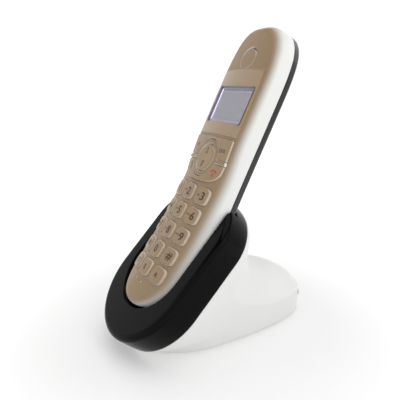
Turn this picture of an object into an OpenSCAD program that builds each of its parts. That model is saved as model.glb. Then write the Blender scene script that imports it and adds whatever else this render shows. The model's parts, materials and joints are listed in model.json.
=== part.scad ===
// Cordless telephone handset standing in its charging base.
// Origin: on the ground, under the middle of the whole object. The keypad faces -Y, +Z is up.
// Handset frame: x across, y along the handset towards the earpiece, z out of the keypad.
// Cradle frame: x across, y up the slope of the black cup, z out of the cup's opening.

/* [Handset] */
// Overall length of the handset
handset_len = 174; // [172:0.1:176]
// Overall width of the handset
handset_width = 48.5; // [48:0.1:49]
// Angle between the docked handset and the vertical
handset_tilt = 26.86; // [26.5:0.01:27.2]
// Height at which the keypad face starts to curve forward, along the handset
curve_start = 55; // [53:1:57]
// Softness of that curve: a larger number is flatter
curve_rate = 770; // [740:10:820]
// Wall of the front shell
front_wall = 2; // [1.8:0.1:2.1]
// Wall of the back shell
back_wall = 1.6; // [1.4:0.1:1.7]
// Depth from the display face to the flat back
back_depth = 18.3; // [18.2:0.1:18.6]
// Depth from the display face to the seam between the two shells
seam_depth = 13.7; // [13.4:0.1:13.9]

/* [Keys] */
// Spacing of the key columns
key_pitch = 12.5; // [12.3:0.01:12.8]
// Width of a key
key_width = 9.9; // [9.7:0.1:10.2]
// Height of a key
key_height = 9.7; // [9.4:0.1:9.8]
// How far a key stands proud of the shell
key_proud = 1.2; // [1:0.1:1.4]
// Gap around each key
key_gap = 0.25; // [0.2:0.05:0.3]
// Radius of the round navigation key
nav_radius = 8; // [7.8:0.1:8.1]

/* [Base] */
// Slope of the joint between the black cup and the white body, from the ground
cup_slope = 46.97; // [46.5:0.01:47.2]
// Height of the cup above that joint
cup_height = 17.5; // [17:0.1:18]
// Wall of the base body and of the cup
base_wall = 2.5; // [2.3:0.1:2.6]
// Space left around the docked handset at the sides
cup_clearance = 1.35; // [1:0.05:1.5]
// Height of the rubber feet
foot_height = 1.2; // [1:0.1:1.4]

/* [Hidden] */
$fn = 48;

// Handset: where its frame sits, and the two ends of its rounded outline
handset_pos = [0, -25.66, 60.65];
half_width = handset_width / 2;
low_end = -41.5;
low_centre = low_end + half_width;
high_end = low_end + handset_len;
// The head end of the outline narrows in a superellipse that starts here
head_start = 90;
head_power = 3;
head_steps = 28;
// Crown of the face: flat middle, gently sloped flanks, steep shoulders
flank_angle = 13.6;
shoulder_angle = 45;
flank_start = [6.5, 11.5];
shoulder_start = [17.9, 19.1];
crown_change = [36, 65];
key_rows = [29.45, 17.43, 4.8, -7.73, -19.52];
key_depth = 2.9;
flange_top = 2.25;
membrane_top = 3.7;
membrane_thick = 0.8;
cluster_top = 63.3;
cluster_turn = 48;
cluster_side = 18.7;
cluster_drop = 11.2;
nav_centre = 50.5;
ring_radius = 11.3;
bridge_half = 1.1;
bridge_v = 49.8;
split_gap = 0.3;
cluster_proud = 0.9;
lens_box = [19.2, 64.9, 104.5];
lens_thick = 0.8;
window = [16.5, 72.55, 94.45];
ear_v = 111.7;
ear_radius = 6.6;
pcb_top = 5.8;
pcb_thick = 1;
cell_radius = 5;
cell_length = 44.5;
cell_u = 5.4;
cell_w = -11.9;
cell_v = 0.5;
door_thick = 1.3;
door_box = [15, -25.6, 30];
cell_bay = [11, -24, 25];
recess_len = 3.6;
boss_radius = 2.8;
screw_radius = 1;
handset_bosses = [[-15.5, 105], [15.5, 105], [-12.5, -32.5], [12.5, -32.5]];
contact_u = 7;
contact_w = -9;
pin_radius = 1.2;
pin_top = -40.6;

// Base: the line under the front lip from which all sections of the body fan out
fan_line = [-53.1, foot_height];
// Each section: angle, front, start and end of the straight side, rear, half width, squareness
body_sections = [
    [0, 4, 44, 44, 117.8, 27, 2.7],
    [6.8, 3.2, 43, 44, 118.6, 28.5, 2.7],
    [10.9, 2.6, 41, 43, 114.7, 29.5, 2.5],
    [16, 2.1, 39, 40, 105.1, 30.8, 2.2],
    [19.1, 1.9, 36, 37, 100.1, 31.5, 1.9],
    [22.1, 1.7, 34, 35, 94.5, 32, 1.8],
    [27.1, 1.4, 33, 34, 86.5, 32.6, 1.8],
    [33.8, 0.9, 34, 37, 87.4, 34, 1.9],
    [39.9, 0.5, 35.5, 53, 94.9, 35.2, 2],
    [cup_slope, 0.2, 35.9, 71.8, 100.7, 35.7, 2]];
cup_section = body_sections[len(body_sections) - 1];
front_steps = 10;
side_steps = 2;
rear_steps = 12;
pocket_radius = half_width + cup_clearance;
pocket_back = -18.8;
tub_wall = 2;
plate_thick = 2;
post_places = [[21, -8], [18, 38]];
page_x = 11;
page_z = 11;
page_radius = 3.2;
line_x = 0;
dc_x = -10.5;
board_z = [5, 6.6];

// ---- shared shapes ----

function superellipse(a, b, power, count) = [for (i = [0:count - 1])
    let (c = cos(360 * i / count), s = sin(360 * i / count))
    [a * sign(c) * pow(abs(c), 2 / power), b * sign(s) * pow(abs(s), 2 / power)]];

function blend(range, v) = min(1, max(0, (v - range[0]) / (range[1] - range[0])));

// Height of the face along its middle line: flat, kicked forward at the chin, rolled at both ends
function face(v) = (v < curve_start ? pow(curve_start - v, 2) / curve_rate : 0)
    - (v > 121 ? pow(v - 121, 2) / 29 : 0) - (v < -37 ? pow(v + 37, 2) / 8 : 0);
function face_slope(v) = atan(v < curve_start ? -2 * (curve_start - v) / curve_rate : 0);
function crown_start(pair, v) = pair[0] + (pair[1] - pair[0]) * blend(crown_change, v);
// Height of the face at any point
function crown_height(u, v) = face(v)
    - max(0, abs(u) - crown_start(flank_start, v)) * tan(flank_angle);

face_stations = [low_end, -39, -37, -32, -25, -17, -8, 2, 12, 23, 36, 45, curve_start, 65,
    121, 124, 128, high_end];

// Everything under the face, with the face turned sideways by an angle and lowered by a depth
module under_face(angle, starts, depth) {
    top = [for (v = face_stations) [v, cos(angle) * (face(v)
        + crown_start(starts, v) * tan(angle)) - depth]];
    rotate([0, angle, 0]) rotate([90, 0, 90]) linear_extrude(140, center = true)
        polygon(concat(top, [[high_end, -60], [low_end, -60]]));
}

// Outline of the handset seen from the keypad: round at the chin, squarer at the head
module stadium(inset) {
    w = half_width - inset;
    translate([0, low_centre]) circle(w, $fn = 96);
    polygon(concat([[-w, low_centre], [w, low_centre]],
        [for (i = [0:head_steps]) let (c = cos(180 * i / head_steps), s = sin(180 * i / head_steps))
            [w * sign(c) * pow(abs(c), 2 / head_power),
                head_start + (high_end - head_start - inset) * pow(abs(s), 2 / head_power)]]));
}

// The handset's outer form, shrunk by an inset at the sides and a depth at the face
module handset_form(inset, depth) {
    intersection() {
        translate([0, 0, -40]) linear_extrude(70) stadium(inset);
        under_face(0, flank_start, depth);
        under_face(flank_angle, flank_start, depth);
        under_face(-flank_angle, -flank_start, depth);
        under_face(shoulder_angle, shoulder_start, depth);
        under_face(-shoulder_angle, -shoulder_start, depth);
    }
}

// Side view of the part in front of the seam, extruded across the handset
module before_seam(shift) {
    rotate([90, 0, 90]) linear_extrude(60, center = true) translate([0, shift])
        polygon([[-60, 60], [-60, -seam_depth], [118, -seam_depth],
            [high_end, 1.2 - seam_depth], [150, 1.2 - seam_depth], [150, 60]]);
}

// Side view of the part in front of the back face, raised by a wall
module before_back(wall) {
    rotate([90, 0, 90]) linear_extrude(60, center = true)
        polygon([[-60, 60], [-60, 0], [low_end, -9], [low_end + 1.5, wall - 13],
            [-36, wall + 1.5 - back_depth], [-30, wall - back_depth], [116, wall - back_depth],
            [124, wall + 0.5 - back_depth], [high_end - 1.5, wall + 1.8 - back_depth],
            [high_end, wall + 3.6 - back_depth], [150, 60]]);
}

module docked() {
    translate(handset_pos) rotate([90 - handset_tilt, 0, 0]) children();
}

module column(x, y, z0, z1, r) {
    translate([x, y, z0]) cylinder(z1 - z0, r = r);
}

module block(x, y, z) {
    translate([x[0], y[0], z[0]]) cube([x[1] - x[0], y[1] - y[0], z[1] - z[0]]);
}

// ---- keys ----

module key_outline(grow) {
    polygon(superellipse(key_width / 2 + grow, key_height / 2 + grow, 3.6, 32));
}

// A slab of the key that follows the face: from and to are heights above the shell
module key_slab(column_no, row_v, from, to, grow, stretch) {
    u = column_no * key_pitch;
    base = crown_height(u, row_v);
    intersection() {
        translate([u, row_v, base - 12]) linear_extrude(24)
            scale([1, stretch]) key_outline(grow);
        translate([u, row_v, base]) rotate([face_slope(row_v), column_no * flank_angle, 0])
            block([-12, 12], [-12, 12], [from, to]);
    }
}

module key(column_no, row_v) {
    docked() {
        key_slab(column_no, row_v, -key_depth, key_proud, 0, 1);
        intersection() {
            key_slab(column_no, row_v, -key_depth, -flange_top, 0.9, 1);
            translate([column_no * key_pitch, row_v, 0])
                block([-key_width / 2, key_width / 2], [-9, 9], [-20, 20]);
        }
    }
}

// Outline shared by the four keys around the navigation key: straight top, rounded foot
module cluster_outline(grow) {
    steps = 14;
    side = [for (i = [0:steps]) [(cluster_side + grow) * pow(cos(90 * i / steps), 0.74),
        cluster_turn - (cluster_drop + grow) * pow(sin(90 * i / steps), 0.74)]];
    mirrored = [for (i = [steps - 1:-1:0]) [-side[i][0], side[i][1]]];
    polygon(concat([[cluster_side + grow, cluster_top + grow]], side, mirrored,
        [[-cluster_side - grow, cluster_top + grow]]));
}

// One quarter of the cluster: side is +1 for the right, upper is true for a soft key
module cluster_quarter(side, upper, grow) {
    clear = split_gap / 2;
    edge = bridge_half + split_gap;
    difference() {
        cluster_outline(grow);
        translate([0, nav_centre]) circle(ring_radius + split_gap);
        translate([side > 0 ? -40 : -clear, 20]) square([40 + clear, 60]);
        translate([-40, upper ? bridge_v + edge - 60 : bridge_v - edge]) square([80, 60]);
    }
}

// The layer of the handset between two heights measured from its face
module face_layer(from, to, inset) {
    difference() {
        handset_form(inset, -to);
        handset_form(inset - 3, -from);
    }
}

module cluster_key(side, upper) {
    docked() {
        intersection() {
            translate([0, 0, -20]) linear_extrude(40) cluster_quarter(side, upper, 0);
            face_layer(-key_depth, cluster_proud, -1);
        }
        intersection() {
            translate([0, 0, -20]) linear_extrude(40) cluster_quarter(side, upper, 1.1);
            face_layer(-key_depth, -flange_top, 0.5);
        }
    }
}

// ---- handset ----

module lens_prism(gap) {
    block([-lens_box[0] - gap, lens_box[0] + gap], [lens_box[1] - gap, lens_box[2] + gap],
        [-20, 20]);
}

module bridges(half, length) {
    for (side = [-1, 1]) block(side > 0 ? [ring_radius - 1, length] : [-length, 1 - ring_radius],
        [bridge_v - half, bridge_v + half], [-20, 20]);
}

module handset_front_shell() {
    color("tan") docked() difference() {
        union() {
            difference() {
                intersection() {
                    handset_form(0, 0);
                    before_seam(0);
                }
                handset_form(front_wall, front_wall);
                // openings for the cluster, the lens and the display behind it
                difference() {
                    translate([0, 0, -20]) linear_extrude(40) cluster_outline(split_gap);
                    column(0, nav_centre, -20, 20, ring_radius);
                    bridges(bridge_half, 40);
                }
                intersection() {
                    lens_prism(0.15);
                    face_layer(-lens_thick - 0.1, 3, -3);
                }
            }
            // raised bars between the soft keys and the call keys
            intersection() {
                bridges(bridge_half, 19.2);
                face_layer(-front_wall, 1.2, 0);
                block([-40, 40], [20, 80], [-20, 20]);
            }
            intersection() {
                for (place = handset_bosses)
                    column(place[0], place[1], -seam_depth, 12, boss_radius);
                handset_form(1, 1);
            }
        }
        for (place = handset_bosses)
            column(place[0], place[1], -seam_depth - 1, -seam_depth + 7, screw_radius);
        for (row = key_rows, c = [-1:1]) translate([c * key_pitch, row, -20])
            linear_extrude(50) key_outline(key_gap);
        column(0, nav_centre, -20, 20, nav_radius + 0.45);
        block([-window[0], window[0]], [window[1], window[2]], [-20, 20]);
        column(0, ear_v, -1.5, 5, ear_radius);
        column(0, ear_v, -9, 5, ear_radius - 0.5);
        for (side = [-1, 1]) column(side * 3.3, -27.8, -2, 20, 0.5);
        for (side = [-1, 1]) block([side * contact_u - 2.2, side * contact_u + 2.2],
            [-45, -38.5], [contact_w - 2.7, contact_w + 2.7]);
    }
}

module handset_back_shell() {
    color("#1d1d1d") docked() difference() {
        union() {
            difference() {
                intersection() {
                    difference() {
                        handset_form(0, 0);
                        before_seam(0);
                    }
                    before_back(0);
                }
                intersection() {
                    handset_form(back_wall, 0);
                    before_back(back_wall);
                }
            }
            // walls of the battery compartment and the pad under the thumb recess
            block([-cell_bay[0] - 1.2, cell_bay[0] + 1.2], [cell_bay[1] - 1.2, cell_bay[2] + 1.2],
                [-back_depth + 0.2, -seam_depth]);
            block([-door_box[0] - 1, door_box[0] + 1],
                [door_box[1] - recess_len - 1, door_box[1] + 0.6],
                [-back_depth + 0.2, -back_depth + 2.8]);
            for (place = handset_bosses)
                column(place[0], place[1], -back_depth + 0.6, -seam_depth, boss_radius);
        }
        // the door's bed, longer than the door so that it can slide down to unlatch
        block([-door_box[0], door_box[0]], [door_box[1] - recess_len, door_box[2]],
            [-back_depth - 1, -back_depth + door_thick + 0.15]);
        block([-cell_bay[0], cell_bay[0]], [cell_bay[1], cell_bay[2]], [-30, 0]);
        for (place = handset_bosses) {
            column(place[0], place[1], -30, 0, screw_radius + 0.2);
            column(place[0], place[1], -30, -back_depth + 1.6, 2.2);
        }
    }
}

module battery_door() {
    color("#242424") docked()
        block([-door_box[0] + 0.2, door_box[0] - 0.2], [door_box[1] + 0.2, door_box[2] - 0.2],
            [-back_depth, -back_depth + door_thick]);
}

module battery_cell(side) {
    color("yellowgreen") docked() translate([side * cell_u, cell_v, cell_w]) rotate([90, 0, 0]) {
        cylinder(cell_length - 1, r = cell_radius, center = true);
        translate([0, 0, side * (cell_length / 2 - 0.5)])
            cylinder(1.2, r = 2.6, center = true);
    }
}
module battery_cell_left() { battery_cell(-1); }
module battery_cell_right() { battery_cell(1); }

module battery_contacts() {
    reach = cell_length / 2 + 1.4;
    color("silver") docked() for (side = [-1, 1], end = [-1, 1]) {
        translate([side * cell_u, cell_v + end * (reach + 0.25), cell_w])
            cube([8, 0.5, 6.4], center = true);
        translate([side * cell_u, cell_v + end * (reach - 0.5), cell_w])
            rotate([90, 0, 0]) cylinder(1, r = side == end ? 1.6 : 3.2, center = true);
    }
}

module handset_charge_contacts() {
    color("gold") docked() for (side = [-1, 1])
        block([side * contact_u - 2, side * contact_u + 2], [-40.3, -39.1],
            [contact_w - 2.5, contact_w + 2.5]);
}

module handset_screws() {
    color("silver") docked() for (place = handset_bosses) {
        column(place[0], place[1], -back_depth + 0.5, -back_depth + 1.5, 2);
        column(place[0], place[1], -back_depth + 1.5, -seam_depth + 5, screw_radius - 0.05);
    }
}

module handset_pcb() {
    color("seagreen") docked() {
        block([-20.8, 20.8], [64.6, 99], [-pcb_top - pcb_thick, -pcb_top]);
        block([-14.8, 14.8], [-26.5, 65], [-pcb_top - pcb_thick, -pcb_top]);
        // shielded radio and processor on the rear side
        block([-14, 14], [46, 70], [-pcb_top - pcb_thick - 2.6, -pcb_top - pcb_thick]);
        block([-9, 9], [76, 90], [-pcb_top - pcb_thick - 1.4, -pcb_top - pcb_thick]);
    }
}

module keypad_membrane() {
    color("gainsboro") docked() intersection() {
        face_layer(-membrane_top - membrane_thick, -membrane_top, front_wall + 0.5);
        block([-19.5, 19.5], [-25.5, 63.5], [0.1 - pcb_top, 30]);
    }
}

module display_lens() {
    color("rosybrown") docked() intersection() {
        lens_prism(0);
        face_layer(-lens_thick, 0, 0);
    }
}

module lcd_panel() {
    color("lightsteelblue") docked() {
        block([0.3 - window[0], window[0] - 0.3], [window[1] + 0.3, window[2] - 0.3], [-3.75, -2.1]);
        block([-18, 18], [window[1] - 2.5, window[2] + 2.5], [-4.9, -3.75]);
    }
}

module lcd_backlight() {
    color("white") docked() block([-18, 18], [window[1] - 2.5, window[2] + 2.5], [-5.7, -4.9]);
}

module earpiece_cap() {
    color("tan") docked() intersection() {
        column(0, ear_v, -1.45, 0, ear_radius - 0.15);
        column(0, ear_v - 0.9, -1.45, 0, ear_radius - 0.15);
    }
}

module earpiece_speaker() {
    color("dimgray") docked() {
        column(0, ear_v, -3.2, -2.3, 5);
        column(0, ear_v, -6.2, -3.2, 8);
    }
}

module microphone_capsule() {
    color("silver") docked() column(0, -29.3, 4.3, 6.6, 2.5);
}

module key_1() { color("tan") key(-1, key_rows[0]); }
module key_2() { color("tan") key(0, key_rows[0]); }
module key_3() { color("tan") key(1, key_rows[0]); }
module key_4() { color("tan") key(-1, key_rows[1]); }
module key_5() { color("tan") key(0, key_rows[1]); }
module key_6() { color("tan") key(1, key_rows[1]); }
module key_7() { color("tan") key(-1, key_rows[2]); }
module key_8() { color("tan") key(0, key_rows[2]); }
module key_9() { color("tan") key(1, key_rows[2]); }
module key_star() { color("tan") key(-1, key_rows[3]); }
module key_0() { color("tan") key(0, key_rows[3]); }
module key_hash() { color("tan") key(1, key_rows[3]); }
module key_redial() { color("tan") key(-1, key_rows[4]); }
module key_mute() { color("tan") key(0, key_rows[4]); }
module key_recall() { color("tan") key(1, key_rows[4]); }
module softkey_left() { color("tan") cluster_key(-1, true); }
module softkey_right() { color("tan") cluster_key(1, true); }
module talk_key() { color("tan") cluster_key(-1, false); }
module end_key() { color("tan") cluster_key(1, false); }

module nav_key() {
    color("tan") docked() {
        column(0, nav_centre, -key_depth, 0.4, nav_radius);
        column(0, nav_centre, -key_depth - 0.1, -2.5, nav_radius + 0.9);
    }
}

// ---- base ----

// One half of a section outline from the front to the rear, shrunk by an inset
function half_section(s, inset) = let (w = s[5] - inset, front = s[1] + inset, rear = s[4] - inset)
    concat(
        [for (i = [0:front_steps]) let (t = 90 * i / front_steps)
            [w * sin(t), s[2] - (s[2] - front) * cos(t)]],
        [for (i = [1:side_steps]) [w, s[2] + (s[3] - s[2]) * i / side_steps]],
        [for (i = [1:rear_steps]) let (t = 90 * i / rear_steps)
            [w * pow(cos(t), 2 / s[6]), s[3] + (rear - s[3]) * pow(sin(t), 2 / s[6])]]);
function section(s, inset) = let (half = half_section(s, inset), n = len(half))
    concat(half, [for (i = [n - 2:-1:1]) [-half[i][0], half[i][1]]]);

// A section's points standing at its angle, raised by a height off its own plane
function placed(points, angle, height) = [for (p = points) [p[0],
    fan_line[0] + p[1] * cos(angle) - height * sin(angle),
    fan_line[1] + p[1] * sin(angle) + height * cos(angle)]];

// Faces of a tube through equal rings: a ring number k starts at point k * n
function tube_faces(rings, n, closed) = [for (k = [0:rings - (closed ? 1 : 2)], i = [0:n - 1],
    half = [0, 1]) let (a = k * n + i, b = k * n + (i + 1) % n,
        c = ((k + 1) % rings) * n + (i + 1) % n, d = ((k + 1) % rings) * n + i)
        half == 0 ? [a, c, b] : [a, d, c]];

module body_form() {
    outer = [for (s = body_sections) placed(section(s, 0), s[0], 0)];
    inner = [for (k = [len(body_sections) - 1:-1:0])
        placed(section(body_sections[k], base_wall), body_sections[k][0], 0)];
    rings = concat(outer, inner);
    polyhedron([for (r = rings) each r], tube_faces(len(rings), len(rings[0]), true));
}

module base_body_shell() {
    color("white") difference() {
        union() {
            body_form();
            for (place = post_places, side = [-1, 1]) mirror([side < 0 ? 1 : 0, 0, 0]) {
                column(place[0], place[1], foot_height + plate_thick + 0.1, 20, boss_radius);
                block([place[0], place[0] + 5], [place[1] - 1, place[1] + 1],
                    [foot_height + plate_thick + 0.1, 14]);
            }
        }
        for (place = post_places, side = [-1, 1])
            column(side * place[0], place[1], 0, 12, screw_radius);
        // openings in the rear wall for the two sockets and the paging key
        block([line_x - 5, line_x + 5], [57.5, 70], [board_z[1] + 0.9, board_z[1] + 7.7]);
        translate([dc_x, 55, page_z]) rotate([-90, 0, 0]) cylinder(14, r = 3.65);
        translate([page_x, 55, page_z]) rotate([-90, 0, 0])
            cylinder(14, r = page_radius + 0.25);
    }
}

module base_bottom_plate() {
    color("white") difference() {
        translate([0, fan_line[0], foot_height]) linear_extrude(plate_thick)
            polygon(section(body_sections[0], base_wall + 0.3));
        for (place = post_places, side = [-1, 1]) {
            column(side * place[0], place[1], 0, 10, screw_radius + 0.2);
            column(side * place[0], place[1], 0, foot_height + 1, 2.2);
        }
    }
}

module rubber_feet() {
    color("#333333") for (x = [-14, 14], y = [-28, 52])
        column(y > 0 ? x * 0.7 : x, y, 0, foot_height, 4.5);
}

module base_screws() {
    color("silver") for (place = post_places, side = [-1, 1]) {
        column(side * place[0], place[1], foot_height + 0.1, foot_height + 1, 2);
        column(side * place[0], place[1], foot_height + 1, 10, screw_radius - 0.05);
    }
}

module base_pcb() {
    color("seagreen") {
        block([-15, 15], [-16, 54], board_z);
        // radio under its shield, and the supply parts
        block([-10, 8], [4, 26], [board_z[1], board_z[1] + 3]);
        block([-12, -6], [30, 36], [board_z[1], board_z[1] + 5]);
        block([2, 10], [30, 36], [board_z[1], board_z[1] + 2]);
        for (x = [-12, 12], y = [-12, 50])
            column(x, y, foot_height + plate_thick, board_z[0], 2);
    }
}

module line_jack() {
    color("dimgray") difference() {
        block([line_x - 5.8, line_x + 5.8], [47, 61], [board_z[1], board_z[1] + 8.6]);
        block([line_x - 4.8, line_x + 4.8], [49, 62], [board_z[1] + 1.2, board_z[1] + 7.4]);
    }
}

module dc_jack() {
    color("#222222") {
        difference() {
            union() {
                block([dc_x - 4, dc_x + 4], [50, 55.6], [board_z[1], board_z[1] + 8.8]);
                translate([dc_x, 52, page_z]) rotate([-90, 0, 0]) cylinder(9.6, r = 3.5);
            }
            translate([dc_x, 52, page_z]) rotate([-90, 0, 0]) cylinder(12, r = 2.9);
        }
        translate([dc_x, 51, page_z]) rotate([-90, 0, 0]) cylinder(9.5, r = 0.8);
    }
}

module page_key() {
    color("gainsboro") translate([page_x, 0, page_z]) rotate([-90, 0, 0]) {
        translate([0, 0, 54]) cylinder(8.2, r = page_radius);
        translate([0, 0, 54]) cylinder(1.2, r = page_radius + 0.9);
    }
}

module page_switch() {
    color("dimgray") {
        block([page_x - 3, page_x + 3], [48, 51.4], [board_z[1], board_z[1] + 7.5]);
        translate([page_x, 51.4, page_z]) rotate([-90, 0, 0]) cylinder(1.5, r = 1.2);
    }
}

module in_cup() {
    translate([0, fan_line[0], fan_line[1]]) rotate([cup_slope, 0, 0]) children();
}

// Outer form of the cup: the body's top section, bulging a little, with a rounded upper edge
module cup_form() {
    edge = 3.5;
    levels = concat([[0, 0], [5, 0.5], [cup_height - edge, 0.7]],
        [for (t = [30, 60, 90]) [cup_height - edge + edge * sin(t), 0.7 - edge * (1 - cos(t))]]);
    n = len(section(cup_section, 0));
    points = [for (l = levels) placed(section(cup_section, -l[1]), cup_slope, l[0])];
    polyhedron([for (p = points) each p], concat([[for (i = [0:n - 1]) i]],
        tube_faces(len(levels), n, false),
        [[for (i = [n - 1:-1:0]) (len(levels) - 1) * n + i]]));
}

// Prism that the handset slides out of, widened by a wall, open towards the earpiece
module pocket(wall) {
    translate([0, 0, pocket_back - wall]) linear_extrude(60 + wall) {
        translate([0, low_centre]) circle(pocket_radius + wall, $fn = 96);
        translate([-pocket_radius - wall, low_centre])
            square([2 * (pocket_radius + wall), 110]);
    }
}

module cradle_cup() {
    color("black") difference() {
        union() {
            difference() {
                cup_form();
                in_cup() translate([0, 0, -1])
                    linear_extrude(cup_height - base_wall + 1) polygon(section(cup_section, base_wall));
            }
            // tub wall that carries the handset, ending in the skirt and the top deck
            difference() {
                docked() pocket(tub_wall);
                in_cup() block([-90, 90], [-90, 220], [cup_height - 1, 120]);
                in_cup() difference() {
                    block([-90, 90], [-90, 220], [-60, 120]);
                    translate([0, 0, -61]) linear_extrude(200)
                        polygon(section(cup_section, base_wall - 0.6));
                }
                in_cup() block([-90, 90], [92, 220], [-60, 0]);
            }
        }
        docked() pocket(0);
        docked() for (side = [-1, 1]) translate([side * contact_u, -60, contact_w])
            rotate([-90, 0, 0]) cylinder(40, r = pin_radius + 0.3);
    }
}

module charge_contact_block() {
    color("dimgray") docked() difference() {
        block([-11, 11], [-51, -45.5], [contact_w - 3.5, contact_w + 3.5]);
        for (side = [-1, 1]) translate([side * contact_u, -60, contact_w])
            rotate([-90, 0, 0]) cylinder(30, r = pin_radius + 0.05);
    }
}

module charge_pin(side) {
    color("gold") docked() translate([side * contact_u, -50, contact_w])
        rotate([-90, 0, 0]) cylinder(50 + pin_top, r = pin_radius);
}
module charge_pin_left() { charge_pin(-1); }
module charge_pin_right() { charge_pin(1); }

base_body_shell();
cradle_cup();
base_bottom_plate();
rubber_feet();
base_screws();
base_pcb();
dc_jack();
line_jack();
page_key();
page_switch();
charge_contact_block();
charge_pin_left();
charge_pin_right();
handset_front_shell();
handset_back_shell();
battery_door();
battery_cell_left();
battery_cell_right();
battery_contacts();
handset_charge_contacts();
handset_screws();
handset_pcb();
keypad_membrane();
display_lens();
lcd_panel();
lcd_backlight();
earpiece_cap();
earpiece_speaker();
microphone_capsule();
key_1();
key_2();
key_3();
key_4();
key_5();
key_6();
key_7();
key_8();
key_9();
key_star();
key_0();
key_hash();
key_redial();
key_mute();
key_recall();
softkey_left();
softkey_right();
talk_key();
end_key();
nav_key();
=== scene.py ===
"""Looks of a cordless telephone handset docked in its charging base.

All working sizes are millimetres in one of three frames and become metres when a mesh is made:
docked (across, along, out) for the handset, fan (across, distance, angle) for the base body,
and cup (across, up the slope, out of the opening) for the black cradle cup.
"""
import json
import math

import bmesh
import bpy
import numpy as np
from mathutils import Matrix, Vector
from mathutils.geometry import delaunay_2d_cdt


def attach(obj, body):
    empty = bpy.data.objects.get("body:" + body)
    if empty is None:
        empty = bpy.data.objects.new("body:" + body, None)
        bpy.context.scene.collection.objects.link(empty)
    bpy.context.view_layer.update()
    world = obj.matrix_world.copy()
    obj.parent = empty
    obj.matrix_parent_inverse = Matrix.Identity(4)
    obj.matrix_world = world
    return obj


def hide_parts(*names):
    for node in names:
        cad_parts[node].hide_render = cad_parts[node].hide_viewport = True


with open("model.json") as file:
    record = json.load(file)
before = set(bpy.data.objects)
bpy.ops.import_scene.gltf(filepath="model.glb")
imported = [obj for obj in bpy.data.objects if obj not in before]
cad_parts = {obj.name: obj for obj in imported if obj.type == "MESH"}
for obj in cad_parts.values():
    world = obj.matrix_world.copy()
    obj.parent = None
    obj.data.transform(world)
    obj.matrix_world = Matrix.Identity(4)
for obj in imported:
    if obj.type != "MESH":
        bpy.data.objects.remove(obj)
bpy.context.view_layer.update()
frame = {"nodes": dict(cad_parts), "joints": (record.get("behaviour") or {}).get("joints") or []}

MM = 0.001
LIFT = next(j for j in frame["joints"] if j["name"] == "handset_lift")
UP = np.array(LIFT["axis"], float)
OUT = np.array([0.0, -UP[2], UP[1]])
SIDE = np.array([1.0, 0.0, 0.0])
HANDSET_ORIGIN = np.array([0.0, -25.66, 60.65])

# ---- handset sizes ----
HALF_WIDTH = 24.25
LOW_END, HIGH_END = -41.5, 132.5
LOW_CENTRE = LOW_END + HALF_WIDTH
HEAD_START, HEAD_POWER = 90.0, 3
KEY_PITCH = 12.5
KEY_ROWS = [29.45, 17.43, 4.8, -7.73, -19.52]
KEY_SIZE = (9.9, 9.7)
KEY_PROUD = 1.2
KEY_DEPTH = 2.4
NAV_V, NAV_RADIUS, RING_RADIUS = 50.5, 8.0, 11.3
BRIDGE_V, BRIDGE_HALF = 49.8, 1.1
CLUSTER_SIDE, CLUSTER_TOP, CLUSTER_TURN, CLUSTER_DROP = 18.7, 63.3, 48.0, 11.2
LENS_HALF, LENS_LOW, LENS_HIGH = 19.2, 64.9, 104.5
WINDOW = (16.5, 72.55, 94.45)
EAR_V, EAR_RADIUS = 111.7, 6.6
SEAM_DEPTH, BACK_DEPTH = 13.7, 18.3
DOOR = (15.0, -25.6, 30.0)
DOOR_RECESS = 3.6
BOSSES = [(-15.5, 105.0), (15.5, 105.0), (-12.5, -32.5), (12.5, -32.5)]

# ---- base sizes ----
FAN_LINE = np.array([-53.1, 1.2])
CUP_SLOPE = 46.97
CUP_HEIGHT = 17.5
BASE_WALL = 2.5
POCKET_RADIUS = HALF_WIDTH + 1.35
POCKET_BACK = -18.8


# ------------------------------------------------------------------ frames

def docked(points):
    """Handset frame (across, along, out) in mm to world metres."""
    p = np.atleast_2d(np.asarray(points, float))
    world = HANDSET_ORIGIN + p[:, :1] * SIDE + p[:, 1:2] * UP + p[:, 2:3] * OUT
    return world * MM


def in_cup(points):
    """Cup frame (across, up the slope, out of the opening) in mm to world metres."""
    p = np.atleast_2d(np.asarray(points, float))
    c, s = math.cos(math.radians(CUP_SLOPE)), math.sin(math.radians(CUP_SLOPE))
    return np.stack([p[:, 0], FAN_LINE[0] + p[:, 1] * c - p[:, 2] * s,
                     FAN_LINE[1] + p[:, 1] * s + p[:, 2] * c], 1) * MM


def fan_points(points, angle):
    """Section points (across, distance from the fan line) at an angle, to world metres."""
    c, s = math.cos(math.radians(angle)), math.sin(math.radians(angle))
    return np.stack([points[:, 0], FAN_LINE[0] + points[:, 1] * c,
                     FAN_LINE[1] + points[:, 1] * s], 1) * MM


# ------------------------------------------------------------------ mesh helpers

def make_object(name, verts, faces, smooth_angle=35):
    mesh = bpy.data.meshes.new(name)
    mesh.from_pydata([tuple(v) for v in verts], [], [tuple(int(i) for i in f) for f in faces])
    bm = bmesh.new()
    bm.from_mesh(mesh)
    bmesh.ops.remove_doubles(bm, verts=bm.verts, dist=1e-7)
    bmesh.ops.recalc_face_normals(bm, faces=bm.faces)
    bm.to_mesh(mesh)
    bm.free()
    mesh.shade_smooth()
    mesh.set_sharp_from_angle(angle=math.radians(smooth_angle))
    obj = bpy.data.objects.new(name, mesh)
    bpy.context.scene.collection.objects.link(obj)
    return obj


def place(obj, body, slot, material, *nodes):
    """Gives a piece its body, material and the CAD nodes that it stands for; slot is not used."""
    obj.data.materials.clear()
    obj.data.materials.append(material)
    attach(obj, body)
    if nodes:
        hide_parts(*nodes)
    return obj


def area_2d(p):
    x, y = p[:, 0], p[:, 1]
    return 0.5 * np.sum(x * np.roll(y, -1) - np.roll(x, -1) * y)


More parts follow.
